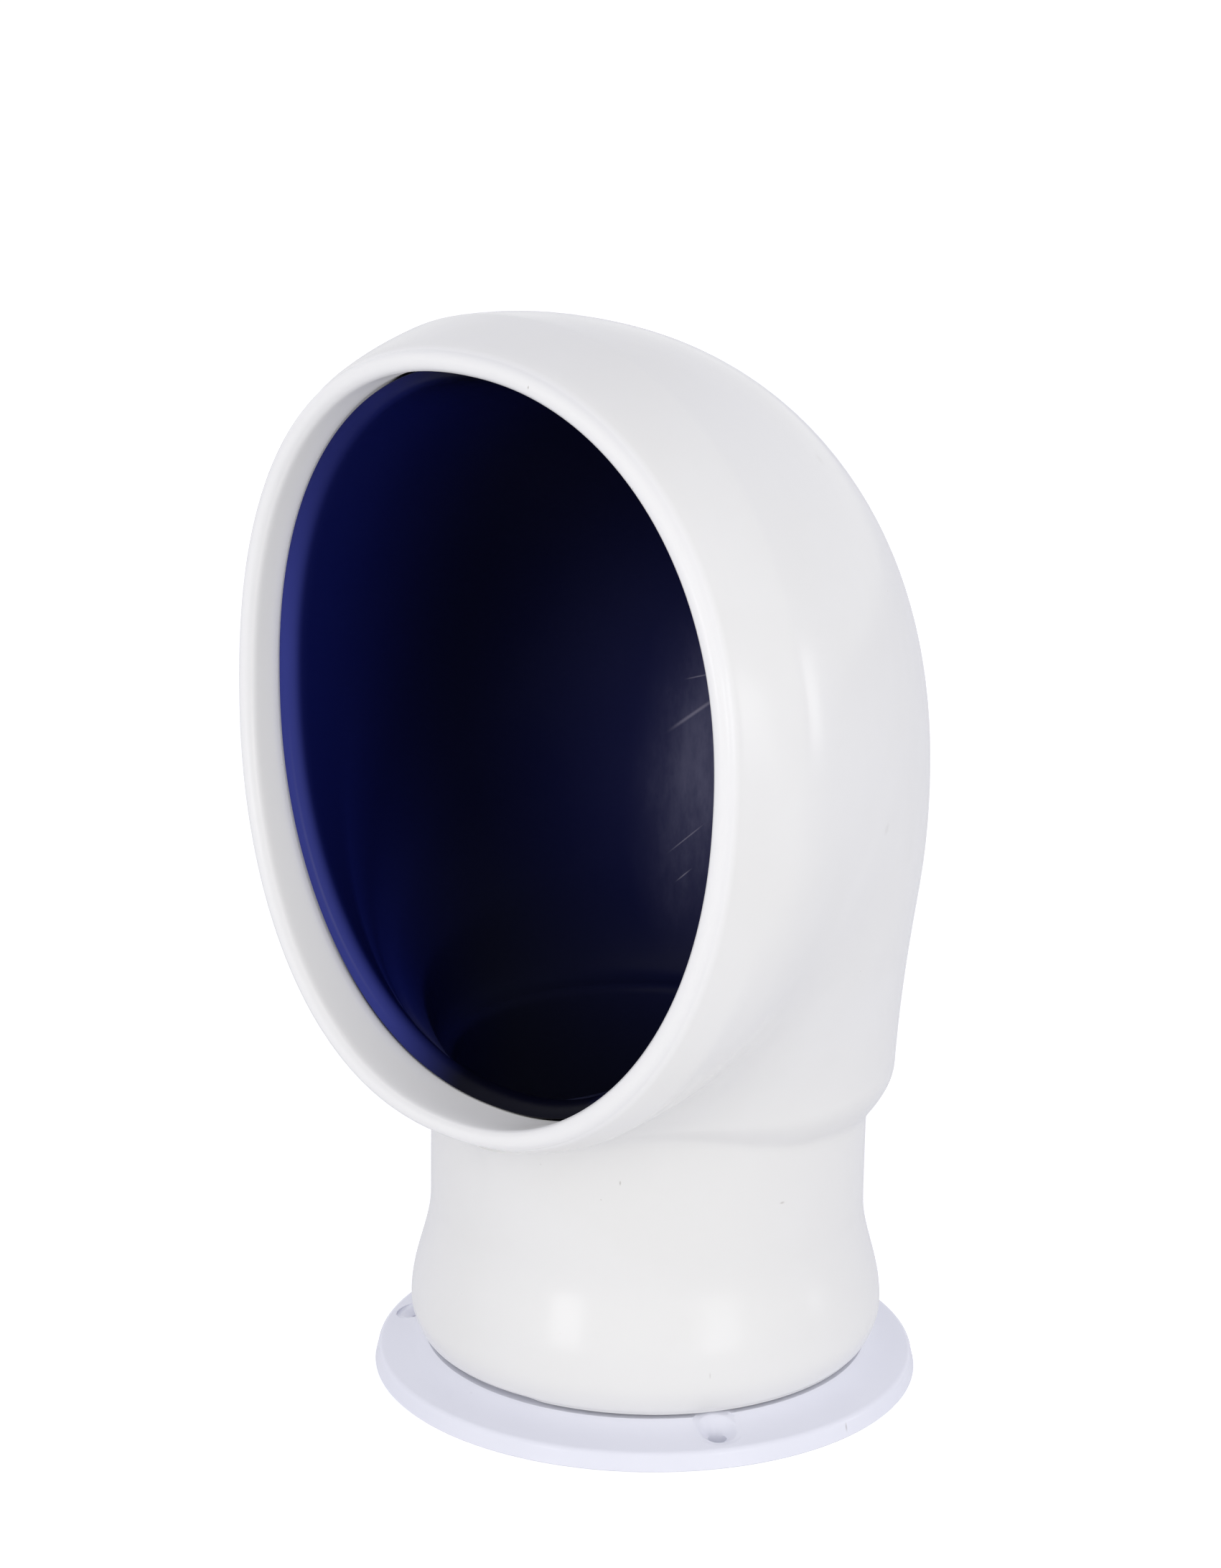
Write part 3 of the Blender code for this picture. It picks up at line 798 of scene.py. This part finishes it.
# %% [markdown]
# ## The liner
#
# The dark liner is a moulding of its own, pressed into the cowl. Its rim stands a hair's breadth off
# the white band, which is the thin dark line all round, and turns inwards as a broad quarter round
# that catches the light. Behind the rim a thick backing thins slowly, so that no ledge casts a dark
# line there. Then the liner follows the hood, folds in above the neck as a soft ledge and runs down
# the neck as a sleeve. The zone is 1 on the rim, more on the one ring that carries a painted
# highlight, and falls to 0 on the wall behind it.

# %% Liner
LINER_GAP = 0.35 * MM
LINER_WALL = 2.6 * MM
FOLD_LEVEL = 89.7 * MM
FOLD_RADIUS = 3.2 * MM
LINER_BORE = 53.3 * MM
SLEEVE_END = 40.0 * MM
RIM_ROUND = 0.4 * MM
RIM_DEEP = 5.0 * MM
RIM_STEPS = 4
RIM_ARC_STEPS = 8
RIM_BACKING = 12.0 * MM
BACKING_STEPS = 18
EDGE_STEPS = 5
# The rim's ring that carries a painted highlight, and its zone.
HIGHLIGHT_RING = 2
HIGHLIGHT_ZONE = 1.2
RIM_END_ZONE = 0.5
RIM_SKIP = 2
LEDGE_SKIP = 4
LEDGE_SHARES = ((0.35, 0.06), (0.65, 0.18), (0.85, 0.36), (0.96, 0.62))
FOLD_STEPS = 6


def rim_rings():
    """The liner's rim: a small rounding beside the band, then a broad quarter round inwards."""
    places = [(0, RIM_DEEP)]
    for step in range(RIM_STEPS + 1):
        turn = math.pi / 2 * step / RIM_STEPS
        places.append((RIM_ROUND * (1 - math.cos(turn)), RIM_ROUND * (1 - math.sin(turn))))
    for step in range(1, RIM_ARC_STEPS + 1):
        turn = math.pi / 2 * step / RIM_ARC_STEPS
        inward = RIM_ROUND + (RIM_THICKNESS - RIM_ROUND) * math.sin(turn)
        places.append((inward, RIM_DEEP * (1 - math.cos(turn))))
    return [
        mouth_ring(BAND_FLARE - LINER_GAP - inward, RIM_DEPTH_TOP + back, RIM_DEPTH_LOW + back, 0)
        for inward, back in places
    ]


def liner_rings():
    """The liner's rings, up its outside, over the rim and down its inside, and their zones."""
    rings = [level_ring(NECK_RADIUS - SHELL_WALL - LINER_GAP, SLEEVE_END)]
    rings += reversed(neck_lining(LINER_GAP))
    rings += [shell_lining(step, LINER_GAP) for step in range(HOOD_STEPS, 1, -1)]
    rings += rim_rings()
    ledge = level_ring(LINER_BORE + FOLD_RADIUS, FOLD_LEVEL + FOLD_RADIUS / 2)
    inset = SHELL_WALL + LINER_GAP + LINER_WALL
    inner = hood_rings(inset, rings[-1].low, ledge.low)
    for step in range(1, BACKING_STEPS):
        share = step / BACKING_STEPS
        backing = RIM_BACKING * (1 - share**2 * (3 - 2 * share))
        inner[step] = hood_ring(step, inset + backing, inner[step].low)
    zones = [1.0] * (len(rings) - RIM_ARC_STEPS)
    zones += [1 - RIM_END_ZONE * (step / RIM_ARC_STEPS) ** 3 for step in range(1, RIM_ARC_STEPS + 1)]
    zones[HIGHLIGHT_RING - RIM_ARC_STEPS] = HIGHLIGHT_ZONE
    rings += inner[RIM_SKIP:-LEDGE_SKIP]
    wall_steps = range(RIM_SKIP, HOOD_STEPS + 1 - LEDGE_SKIP)
    zones += [max(1 - step / EDGE_STEPS, 0) * RIM_END_ZONE for step in wall_steps]
    for share, share_out in LEDGE_SHARES:
        rings.append(between(inner[-LEDGE_SKIP - 1], ledge, share, share_out))
    for step in range(FOLD_STEPS + 1):
        turn = math.pi / 2 * step / FOLD_STEPS
        radius = LINER_BORE + FOLD_RADIUS * (1 - math.sin(turn))
        rings.append(level_ring(radius, FOLD_LEVEL + FOLD_RADIUS * (math.cos(turn) - 0.5)))
    rings += [level_ring(LINER_BORE, (FOLD_LEVEL + SLEEVE_END) / 2), level_ring(LINER_BORE, SLEEVE_END)]
    return rings, zones + [0.0] * (len(rings) - len(zones))


rings, zones = liner_rings()
liner = finish_piece("liner_moulding", grow_loft(rows_of(rings), zones), "cowl_liner", "cowl")
round_off(liner)

# %% [markdown]
# ## The deck flange
#
# The flange is turned: one profile spun round the axis. It is a harder, bluer white plastic than the
# cowl, with a drafted edge, a small round shoulder and a top that rises gently and curls up close to
# the cowl's edge. Three countersunk holes take its screws. Their cutters have rounded rims that lie
# in the top's slope, so that the countersinks run softly into it, as they do in a moulding.

# %% Flange
FLANGE_RADIUS = 75.0 * MM
FLANGE_EDGE = 5.2 * MM
FLANGE_DRAFT = 0.8 * MM
SHOULDER_RADIUS = 1.5 * MM
FLANGE_RISE = 1.9 * MM
FLANGE_CURL = 1.8 * MM
BORE_RADIUS = 52.0 * MM
COLLAR_TOP = 38.5 * MM
SNAP_CLEARANCE = 0.45 * MM
FLANGE_STEPS = 180
SHOULDER_STEPS = 6
TOP_STEPS = 12
HOLE_COUNT = 3
HOLE_CIRCLE = 65.0 * MM
HOLE_RADIUS = 2.5 * MM
SINK_RADIUS = 5.3 * MM
SINK_ROUND = 1.2 * MM
FOOT_BREAK = 0.3 * MM
COLLAR_CHAMFER = 1.0 * MM
SHARP_ANGLE = math.radians(35)
FIRST_HOLE = math.radians(62)
HOLE_STEPS = 48


def spin_profile(bm, profile, steps, closed=True):
    """Turns a profile of (radius, level) points round the Z axis."""
    corners = [bm.verts.new((radius, 0, level)) for radius, level in profile]
    following = corners[1:] + corners[:1] if closed else corners[1:]
    edges = [bm.edges.new(pair) for pair in zip(corners, following)]
    bmesh.ops.spin(
        bm, geom=corners + edges, cent=(0, 0, 0), axis=(0, 0, 1), angle=2 * math.pi, steps=steps, use_merge=True
    )
    bmesh.ops.remove_doubles(bm, verts=bm.verts[:], dist=0.001 * MM)
    bmesh.ops.recalc_face_normals(bm, faces=bm.faces[:])


def flange_top(radius):
    """The level of the flange's top at a radius: it rises inwards and curls up to the cowl's edge."""
    start = FLANGE_RADIUS - FLANGE_DRAFT - SHOULDER_RADIUS
    share = (start - radius) / (start - EDGE_RADIUS)
    return FLANGE_EDGE + FLANGE_RISE * share + FLANGE_CURL * share**4


def flange_profile():
    """(radius, level) round the flange's section, from the bore's foot outwards."""
    edge_top = FLANGE_RADIUS - FLANGE_DRAFT
    points = [(BORE_RADIUS, 0), (FLANGE_RADIUS - FOOT_BREAK, 0), (FLANGE_RADIUS, FOOT_BREAK)]
    for step in range(SHOULDER_STEPS + 1):
        turn = math.pi / 2 * step / SHOULDER_STEPS
        out = SHOULDER_RADIUS * (1 - math.cos(turn))
        points.append((edge_top - out, FLANGE_EDGE - SHOULDER_RADIUS * (1 - math.sin(turn))))
    start = edge_top - SHOULDER_RADIUS
    for step in range(1, TOP_STEPS + 1):
        radius = start + (EDGE_RADIUS - start) * step / TOP_STEPS
        points.append((radius, flange_top(radius)))
    collar = EDGE_RADIUS - GRIP_WALL - SNAP_CLEARANCE
    deep = BASE_RADIUS - GRIP_WALL - SNAP_CLEARANCE
    top_radius = NECK_RADIUS - SHELL_WALL - SNAP_CLEARANCE
    points += [
        (collar, flange_top(EDGE_RADIUS)),
        (collar, EDGE_LEVEL + GRIP_HEIGHT + SNAP_CLEARANCE),
        (deep, BASE_LEVEL - GROOVE_HALF + SNAP_CLEARANCE),
        (deep, BASE_LEVEL + GROOVE_HALF - SNAP_CLEARANCE),
        (top_radius, GRIP_END - SNAP_CLEARANCE),
        (top_radius - COLLAR_CHAMFER, COLLAR_TOP),
        (BORE_RADIUS, COLLAR_TOP),
    ]
    return points


def add_hole_cutter(bm, angle):
    """A screw hole's cutter: a plain bore and a countersink whose rounded rim lies in the sloping top."""
    surface = flange_top(HOLE_CIRCLE)
    over = 3 * MM
    setback = SINK_ROUND * math.tan(math.pi / 8)
    points = [(0, -over), (HOLE_RADIUS, -over), (HOLE_RADIUS, surface - SINK_RADIUS + HOLE_RADIUS)]
    for step in range(SHOULDER_STEPS + 1):
        turn = math.pi / 4 * (1 - step / SHOULDER_STEPS)
        radius = SINK_RADIUS + setback - SINK_ROUND * math.sin(turn)
        points.append((radius, surface - SINK_ROUND * (1 - math.cos(turn))))
    brim = SINK_RADIUS + setback + 1 * MM
    points += [(brim, surface + 0.3 * MM), (brim, surface + over), (0, surface + over)]
    spin_profile(bm, points, HOLE_STEPS, closed=False)
    slope = (flange_top(HOLE_CIRCLE - 1 * MM) - flange_top(HOLE_CIRCLE + 1 * MM)) / (2 * MM)
    outward = Vector((math.sin(angle), -math.cos(angle), 0))
    for corner in bm.verts:
        reach = math.hypot(corner.co.x, corner.co.y)
        share = min(max((reach - HOLE_RADIUS) / (SINK_RADIUS - HOLE_RADIUS), 0), 1)
        corner.co.z -= slope * share * corner.co.dot(outward)
    bmesh.ops.translate(bm, verts=bm.verts[:], vec=outward * HOLE_CIRCLE)


def add_flange():
    """The turned blank with its screw holes cut out of it."""
    bm = bmesh.new()
    spin_profile(bm, flange_profile(), FLANGE_STEPS)
    blank = bpy.data.meshes.new("flange_blank")
    bm.to_mesh(blank)
    bm.free()
    work = bpy.data.objects.new("flange_blank", blank)
    bpy.context.scene.collection.objects.link(work)
    cutters = []
    for number in range(HOLE_COUNT):
        bm = bmesh.new()
        add_hole_cutter(bm, FIRST_HOLE + 2 * math.pi * number / HOLE_COUNT)
        mesh = bpy.data.meshes.new(f"hole_cutter_{number}")
        bm.to_mesh(mesh)
        bm.free()
        cutter = bpy.data.objects.new(mesh.name, mesh)
        bpy.context.scene.collection.objects.link(cutter)
        cut = work.modifiers.new(cutter.name, "BOOLEAN")
        cut.operation = "DIFFERENCE"
        cut.solver = "EXACT"
        cut.object = cutter
        cutters.append(cutter)
    scene_graph = bpy.context.evaluated_depsgraph_get()
    bm = bmesh.new()
    bm.from_object(work, scene_graph)
    for helper in [work, *cutters]:
        bpy.data.objects.remove(helper, do_unlink=True)
    return bm


flange = finish_piece("flange_moulding", add_flange(), "deck_flange", "deck_ring")
flange.data.set_sharp_from_angle(angle=SHARP_ANGLE)

# %% [markdown]
# ## Soft white plastic
#
# The cowl is moulded in soft PVC: a warm white with a satin skin. Its colour is never quite even, its
# gloss changes where hands and cloths have rubbed it, and its surface ripples very slightly, which
# is what breaks up a reflection. All of that is noise on Object coordinates, in metres. Small stains
# sit where the real one has them. The lip and the band inside it, told apart by their zone, are painted
# a brighter white as painted light. The band also has a painted glow, which stands in for daylight
# coming through such a soft, thin wall.

# %% White soft PVC
DIRT = (0.20, 0.15, 0.11, 1)
COWL_MARKS = (
    ((-4.8, -65.8, 290.6), (0.6, 0.8, 0.6), 0.5),
    ((24.8, -70.9, 284.7), (0.4, 0.4, 0.6), 0.6),
    ((17.0, -56.9, 77.0), (0.6, 0.6, 0.6), 0.75),
    ((36.3, -47.0, 74.5), (0.35, 0.35, 0.9), 0.5),
    ((56.0, -32.4, 22.0), (0.35, 0.35, 1.4), 0.5),
    ((58.8, -9.0, 65.3), (0.4, 1.3, 0.5), 0.35),
    ((88.4, -6.3, 173.7), (2.2, 2.2, 2.2), 0.10),
    ((61.8, -6.0, 264.0), (2.6, 2.6, 2.6), 0.08),
)
FLANGE_MARKS = (
    ((-2.7, -63.2, 6.7), (1.3, 0.8, 1.0), 0.5),
    ((51.3, -27.4, 7.1), (0.5, 0.5, 0.5), 0.8),
    ((74.4, 1.5, 3.0), (0.6, 0.5, 2.2), 0.4),
)
WHITE_DEEP = (0.832, 0.828, 0.814, 1)
WHITE_CLEAR = (0.846, 0.843, 0.833, 1)
# Painted light: the lip and the band inside it are painted this brighter white.
WHITE_LIP_PAINTED_BRIGHT = (0.915, 0.912, 0.905, 1)
# Painted glow: the band inside the lip gives off this light, though it is no lamp.
BAND_PAINTED_GLOW_COLOUR = (1, 0.99, 0.985, 1)
BAND_PAINTED_GLOW = 0.19
SPECK = (0.33, 0.28, 0.2, 1)
SPECK_SCALE = 700
WHITE_GLOSS = (0.15, 0.23)


def new_material(name):
    material = bpy.data.materials.new(name)
    material.use_nodes = True
    return material, material.node_tree.nodes["Principled BSDF"]


def object_place(material, shift=(0, 0, 0), stretch=(1, 1, 1)):
    """Object coordinates, moved and stretched: (place - shift) * stretch."""
    nodes = material.node_tree.nodes
    place = nodes.new("ShaderNodeTexCoord")
    moved = nodes.new("ShaderNodeVectorMath")
    moved.operation = "SUBTRACT"
    moved.inputs[1].default_value = shift
    scaled = nodes.new("ShaderNodeVectorMath")
    scaled.operation = "MULTIPLY"
    scaled.inputs[1].default_value = stretch
    link(material, place.outputs["Object"], moved.inputs[0])
    link(material, moved.outputs[0], scaled.inputs[0])
    return scaled.outputs[0]


def add_noise(material, scale, detail=3, roughness=0.5, stretch=(1, 1, 1)):
    noise = material.node_tree.nodes.new("ShaderNodeTexNoise")
    noise.inputs["Scale"].default_value = scale
    noise.inputs["Detail"].default_value = detail
    noise.inputs["Roughness"].default_value = roughness
    link(material, object_place(material, stretch=stretch), noise.inputs["Vector"])
    return noise.outputs["Fac"]


def near(material, place, reach):
    """1 at a place in space, fading to 0 at the given reaches along X, Y and Z."""
    length = material.node_tree.nodes.new("ShaderNodeVectorMath")
    length.operation = "LENGTH"
    link(material, object_place(material, place, [1 / size for size in reach]), length.inputs[0])
    return remap(material, length.outputs["Value"], 0, 1, 1, 0)


def zone_of(material):
    """The value each row of a loft carries."""
    zone = material.node_tree.nodes.new("ShaderNodeAttribute")
    zone.attribute_name = "zone"
    return zone.outputs["Fac"]


def add_marks(material, colour, marks):
    """Mixes small stains over a colour; each is a place and three reaches in millimetres, and a depth."""
    for place, reach, depth in marks:
        spot = near(material, [value * MM for value in place], [value * MM for value in reach])
        shade = calculate(material, "MULTIPLY", spot, depth)
        colour = mix_colour(material, shade, colour, DIRT)
    return colour


def remap(material, value, low, high, out_low, out_high):
    """A value from low to high turned into one from out_low to out_high, and held there."""
    node = material.node_tree.nodes.new("ShaderNodeMapRange")
    node.interpolation_type = "SMOOTHSTEP"
    link(material, value, node.inputs["Value"])
    for socket, number in zip(("From Min", "From Max", "To Min", "To Max"), (low, high, out_low, out_high)):
        node.inputs[socket].default_value = number
    return node.outputs["Result"]


def calculate(material, operation, first, second=0.0):
    """One step of arithmetic on sockets or numbers."""
    node = material.node_tree.nodes.new("ShaderNodeMath")
    node.operation = operation
    for socket, value in zip(node.inputs, (first, second)):
        if isinstance(value, (int, float)):
            socket.default_value = value
        else:
            link(material, value, socket)
    return node.outputs[0]


def mix_colour(material, share, first, second):
    """Mixes two colours; each is a colour or a socket."""
    mix = material.node_tree.nodes.new("ShaderNodeMix")
    mix.data_type = "RGBA"
    link(material, share, mix.inputs["Factor"])
    for socket, colour in ((mix.inputs["A"], first), (mix.inputs["B"], second)):
        if isinstance(colour, tuple):
            socket.default_value = colour
        else:
            link(material, colour, socket)
    return mix.outputs["Result"]


def add_bump(material, height, distance, strength, normal=None):
    bump = material.node_tree.nodes.new("ShaderNodeBump")
    bump.inputs["Distance"].default_value = distance
    bump.inputs["Strength"].default_value = strength
    link(material, height, bump.inputs["Height"])
    if normal:
        link(material, normal, bump.inputs["Normal"])
    return bump.outputs["Normal"]


def white_pvc():
    material, skin = new_material("white_pvc")
    cloud = remap(material, add_noise(material, 22), 0.35, 0.65, 0, 1)
    colour = mix_colour(material, cloud, WHITE_DEEP, WHITE_CLEAR)
    zone = zone_of(material)
    # Painted light: a brighter white on the lip and the band, by zone.
    colour = mix_colour(material, zone, colour, WHITE_LIP_PAINTED_BRIGHT)
    # Painted glow on the band, by zone.
    skin.inputs["Emission Color"].default_value = BAND_PAINTED_GLOW_COLOUR
    glow = remap(material, zone, LIP_ZONE, BAND_ZONE, 0, BAND_PAINTED_GLOW)
    link(material, glow, skin.inputs["Emission Strength"])
    speck = remap(material, add_noise(material, SPECK_SCALE, 1), 0.835, 0.86, 0, 0.4)
    colour = mix_colour(material, speck, colour, SPECK)
    colour = add_marks(material, colour, COWL_MARKS)
    link(material, colour, skin.inputs["Base Color"])
    gloss = remap(material, add_noise(material, 35, 4), 0.3, 0.7, *WHITE_GLOSS)
    link(material, gloss, skin.inputs["Roughness"])
    ripple = add_bump(material, add_noise(material, 45, 2), 0.25 * MM, 0.15)
    grain = add_bump(material, add_noise(material, 2600, 2), 0.02 * MM, 0.25, ripple)
    link(material, grain, skin.inputs["Normal"])
    return material


cowl.data.materials.append(white_pvc())
print("cowl finish:", cowl.data.materials[0].name)

# %% [markdown]
# ## Deep blue plastic
# The liner is dyed deep ultramarine, and light and shade are painted into its colour. It is painted
# nearly black where the hood shades it, darkest on the rim's top and bottom, and clearly blue only where
# light reaches its sides and rim, so its colour follows the side, the depth, the height and the zone.
# On the rim a pale line is a painted highlight. At the back, a haze of scuffs carries a painted
# reflection within a lighter patch of painted light. The liner is greyer and lighter low down, and four
# fine scratches are wear.

# %% Blue PVC
# Painted shade: the liner's colour where the hood shades it, nearly black.
BLUE_PAINTED_SHADE = (0.0035, 0.004, 0.019, 1)
# Painted shade: darkest on the rim and the wall just behind it, by zone.
BLUE_PAINTED_DARKEST = (0.0018, 0.002, 0.008, 1)
# Greyer and a little lighter low down in the liner.
BLUE_LOW_GREYER = (0.012, 0.0135, 0.032, 1)
# Painted light: a clearer blue round the back wall, where light reaches in.
BLUE_PAINTED_BACK_LIGHT = (0.009, 0.0115, 0.075, 1)
# Painted light: a clearer blue on the sides near the mouth.
BLUE_PAINTED_SIDE_LIGHT = (0.0045, 0.007, 0.075, 1)
# Painted light: a lit blue on the rim's sides, fading with height.
BLUE_PAINTED_RIM_LIGHT = (0.035, 0.044, 0.23, 1)
# Painted reflection: a pale sheen, used for the rim's highlight line and for the haze at the back.
BLUE_PAINTED_SHEEN = (0.155, 0.155, 0.26, 1)
BLUE_SCRATCH = (0.45, 0.43, 0.55, 1)
# Where the painted light falls on the liner: by side, depth and height.
LIT_SIDE_SHIFT = 10 * MM
LIT_SIDE_FADE = (22 * MM, 62 * MM)
LIT_DEPTH_FADE = (-54 * MM, 6 * MM)
RIM_LIGHT_FADE = (190 * MM, 275 * MM)
LOW_FADE = (90 * MM, 150 * MM)
# Where the rim's painted highlight line shows.
HIGHLIGHT_PLACE = (-68 * MM, -58 * MM, 132 * MM)
HIGHLIGHT_REACH = (40 * MM, 40 * MM, 60 * MM)
# Where the painted reflection sits on the back wall.
BACK_SHEEN_PLACE = (-31 * MM, 54 * MM, 148 * MM)
BACK_SHEEN_REACH = (24 * MM, 34 * MM, 62 * MM)
BACK_LIGHT_REACH = (75 * MM, 80 * MM, 115 * MM)
BLUE_GLOSS = (0.34, 0.44)
BLUE_SPECULAR = 0.06
SCRATCHES = (
    ((-42.3, 50.4, 163.9), (-30.5, 56.4, 174.3), 0.75),
    ((-40.3, 48.8, 128.5), (-33.1, 54.1, 136.5), 0.3),
    ((-38.0, 52.0, 179.0), (-32.0, 54.8, 181.0), 0.35),
    ((-38.5, 49.5, 119.7), (-35.3, 51.8, 123.3), 0.28),
)


def add_scratch(material, start, end, width):
    """1 on a straight line between two places given in millimetres, fading at its ends."""
    start, end = Vector(start) * MM, Vector(end) * MM
    middle, half = (start + end) / 2, (end - start).length / 2
    cross = material.node_tree.nodes.new("ShaderNodeVectorMath")
    cross.operation = "CROSS_PRODUCT"
    cross.inputs[1].default_value = (end - start).normalized()
    link(material, object_place(material, middle), cross.inputs[0])
    length = material.node_tree.nodes.new("ShaderNodeVectorMath")
    length.operation = "LENGTH"
    link(material, cross.outputs[0], length.inputs[0])
    line = remap(material, length.outputs["Value"], 0, width * MM, 0.6, 0)
    return calculate(material, "MULTIPLY", line, near(material, middle, [1.4 * half] * 3))


def place_parts(material):
    """The three Object coordinates, as sockets X, Y and Z."""
    nodes = material.node_tree.nodes
    place = nodes.new("ShaderNodeTexCoord")
    parts = nodes.new("ShaderNodeSeparateXYZ")
    link(material, place.outputs["Object"], parts.inputs[0])
    return parts.outputs


def blue_pvc():
    material, skin = new_material("blue_pvc")
    x, y, z = place_parts(material)
    side = calculate(material, "ABSOLUTE", calculate(material, "SUBTRACT", x, LIT_SIDE_SHIFT))
    side = remap(material, side, *LIT_SIDE_FADE, 0, 1)
    zone = zone_of(material)
    # Painted light on the sides and the rim, painted shade elsewhere, by side, depth, height and zone.
    glow = calculate(material, "MULTIPLY", side, remap(material, y, *LIT_DEPTH_FADE, 1, 0))
    rim = calculate(material, "MULTIPLY", side, remap(material, zone, RIM_END_ZONE, 0.95, 0, 1))
    rim = calculate(material, "MULTIPLY", rim, remap(material, z, *RIM_LIGHT_FADE, 1, 0.15))
    # Painted highlight: a pale line along one ring of the rim.
    painted_highlight = remap(material, zone, 1.03, HIGHLIGHT_ZONE, 0, 0.2)
    painted_highlight = calculate(material, "MULTIPLY", painted_highlight, near(material, HIGHLIGHT_PLACE, HIGHLIGHT_REACH))
    # Greyer and lighter towards the bottom.
    colour = mix_colour(material, remap(material, z, *LOW_FADE, 1, 0), BLUE_PAINTED_SHADE, BLUE_LOW_GREYER)
    # Painted light round the back wall.
    colour = mix_colour(material, near(material, BACK_SHEEN_PLACE, BACK_LIGHT_REACH), colour, BLUE_PAINTED_BACK_LIGHT)
    colour = mix_colour(material, remap(material, zone, 0, RIM_END_ZONE, 0, 1), colour, BLUE_PAINTED_DARKEST)
    colour = mix_colour(material, glow, colour, BLUE_PAINTED_SIDE_LIGHT)
    colour = mix_colour(material, rim, colour, BLUE_PAINTED_RIM_LIGHT)
    colour = mix_colour(material, painted_highlight, colour, BLUE_PAINTED_SHEEN)
    # Scuffs at the back carry a painted reflection in the pale sheen.
    scuffs = remap(material, add_noise(material, 40, 6, 0.7, (1, 1, 0.35)), 0.42, 0.75, 0.35, 1)
    scuffed_sheen = calculate(material, "MULTIPLY", scuffs, near(material, BACK_SHEEN_PLACE, BACK_SHEEN_REACH))
    colour = mix_colour(material, scuffed_sheen, colour, BLUE_PAINTED_SHEEN)
    for start, end, width in SCRATCHES:
        colour = mix_colour(material, add_scratch(material, start, end, width), colour, BLUE_SCRATCH)
    link(material, colour, skin.inputs["Base Color"])
    gloss = remap(material, add_noise(material, 60, 4, 0.5), 0.3, 0.7, *BLUE_GLOSS)
    link(material, gloss, skin.inputs["Roughness"])
    skin.inputs["Specular IOR Level"].default_value = BLUE_SPECULAR
    ripple = add_bump(material, add_noise(material, 40, 2), 0.3 * MM, 0.12)
    link(material, ripple, skin.inputs["Normal"])
    return material


liner.data.materials.append(blue_pvc())
print("liner finish:", liner.data.materials[0].name)

# %% [markdown]
# ## Rigid bluish plastic
#
# The flange is a harder plastic with a cooler white. Its colour and gloss change a little from place
# to place, its surface has a fine grain, and three small stains sit where the real one has them.

# %% White ABS
FLANGE_WHITE = (0.842, 0.85, 0.93, 1)
FLANGE_SHADE = (0.824, 0.833, 0.915, 1)
FLANGE_GLOSS = (0.19, 0.25)


def white_abs():
    material, skin = new_material("white_abs")
    cloud = remap(material, add_noise(material, 25, 2), 0.25, 0.75, 0, 1)
    colour = mix_colour(material, cloud, FLANGE_SHADE, FLANGE_WHITE)
    link(material, add_marks(material, colour, FLANGE_MARKS), skin.inputs["Base Color"])
    gloss = remap(material, add_noise(material, 60, 3, 0.5), 0.3, 0.7, *FLANGE_GLOSS)
    link(material, gloss, skin.inputs["Roughness"])
    grain = add_bump(material, add_noise(material, 1500, 2), 0.03 * MM, 0.25)
    link(material, grain, skin.inputs["Normal"])
    return material


flange.data.materials.append(white_abs())
print("flange finish:", flange.data.materials[0].name)

# %% Sizes, and the end
bpy.context.view_layer.update()
dressed_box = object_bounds()
for label, box in (("frame", frame_box), ("dressed", dressed_box)):
    print(label, [round(value / MM, 2) for corner in box for value in corner])
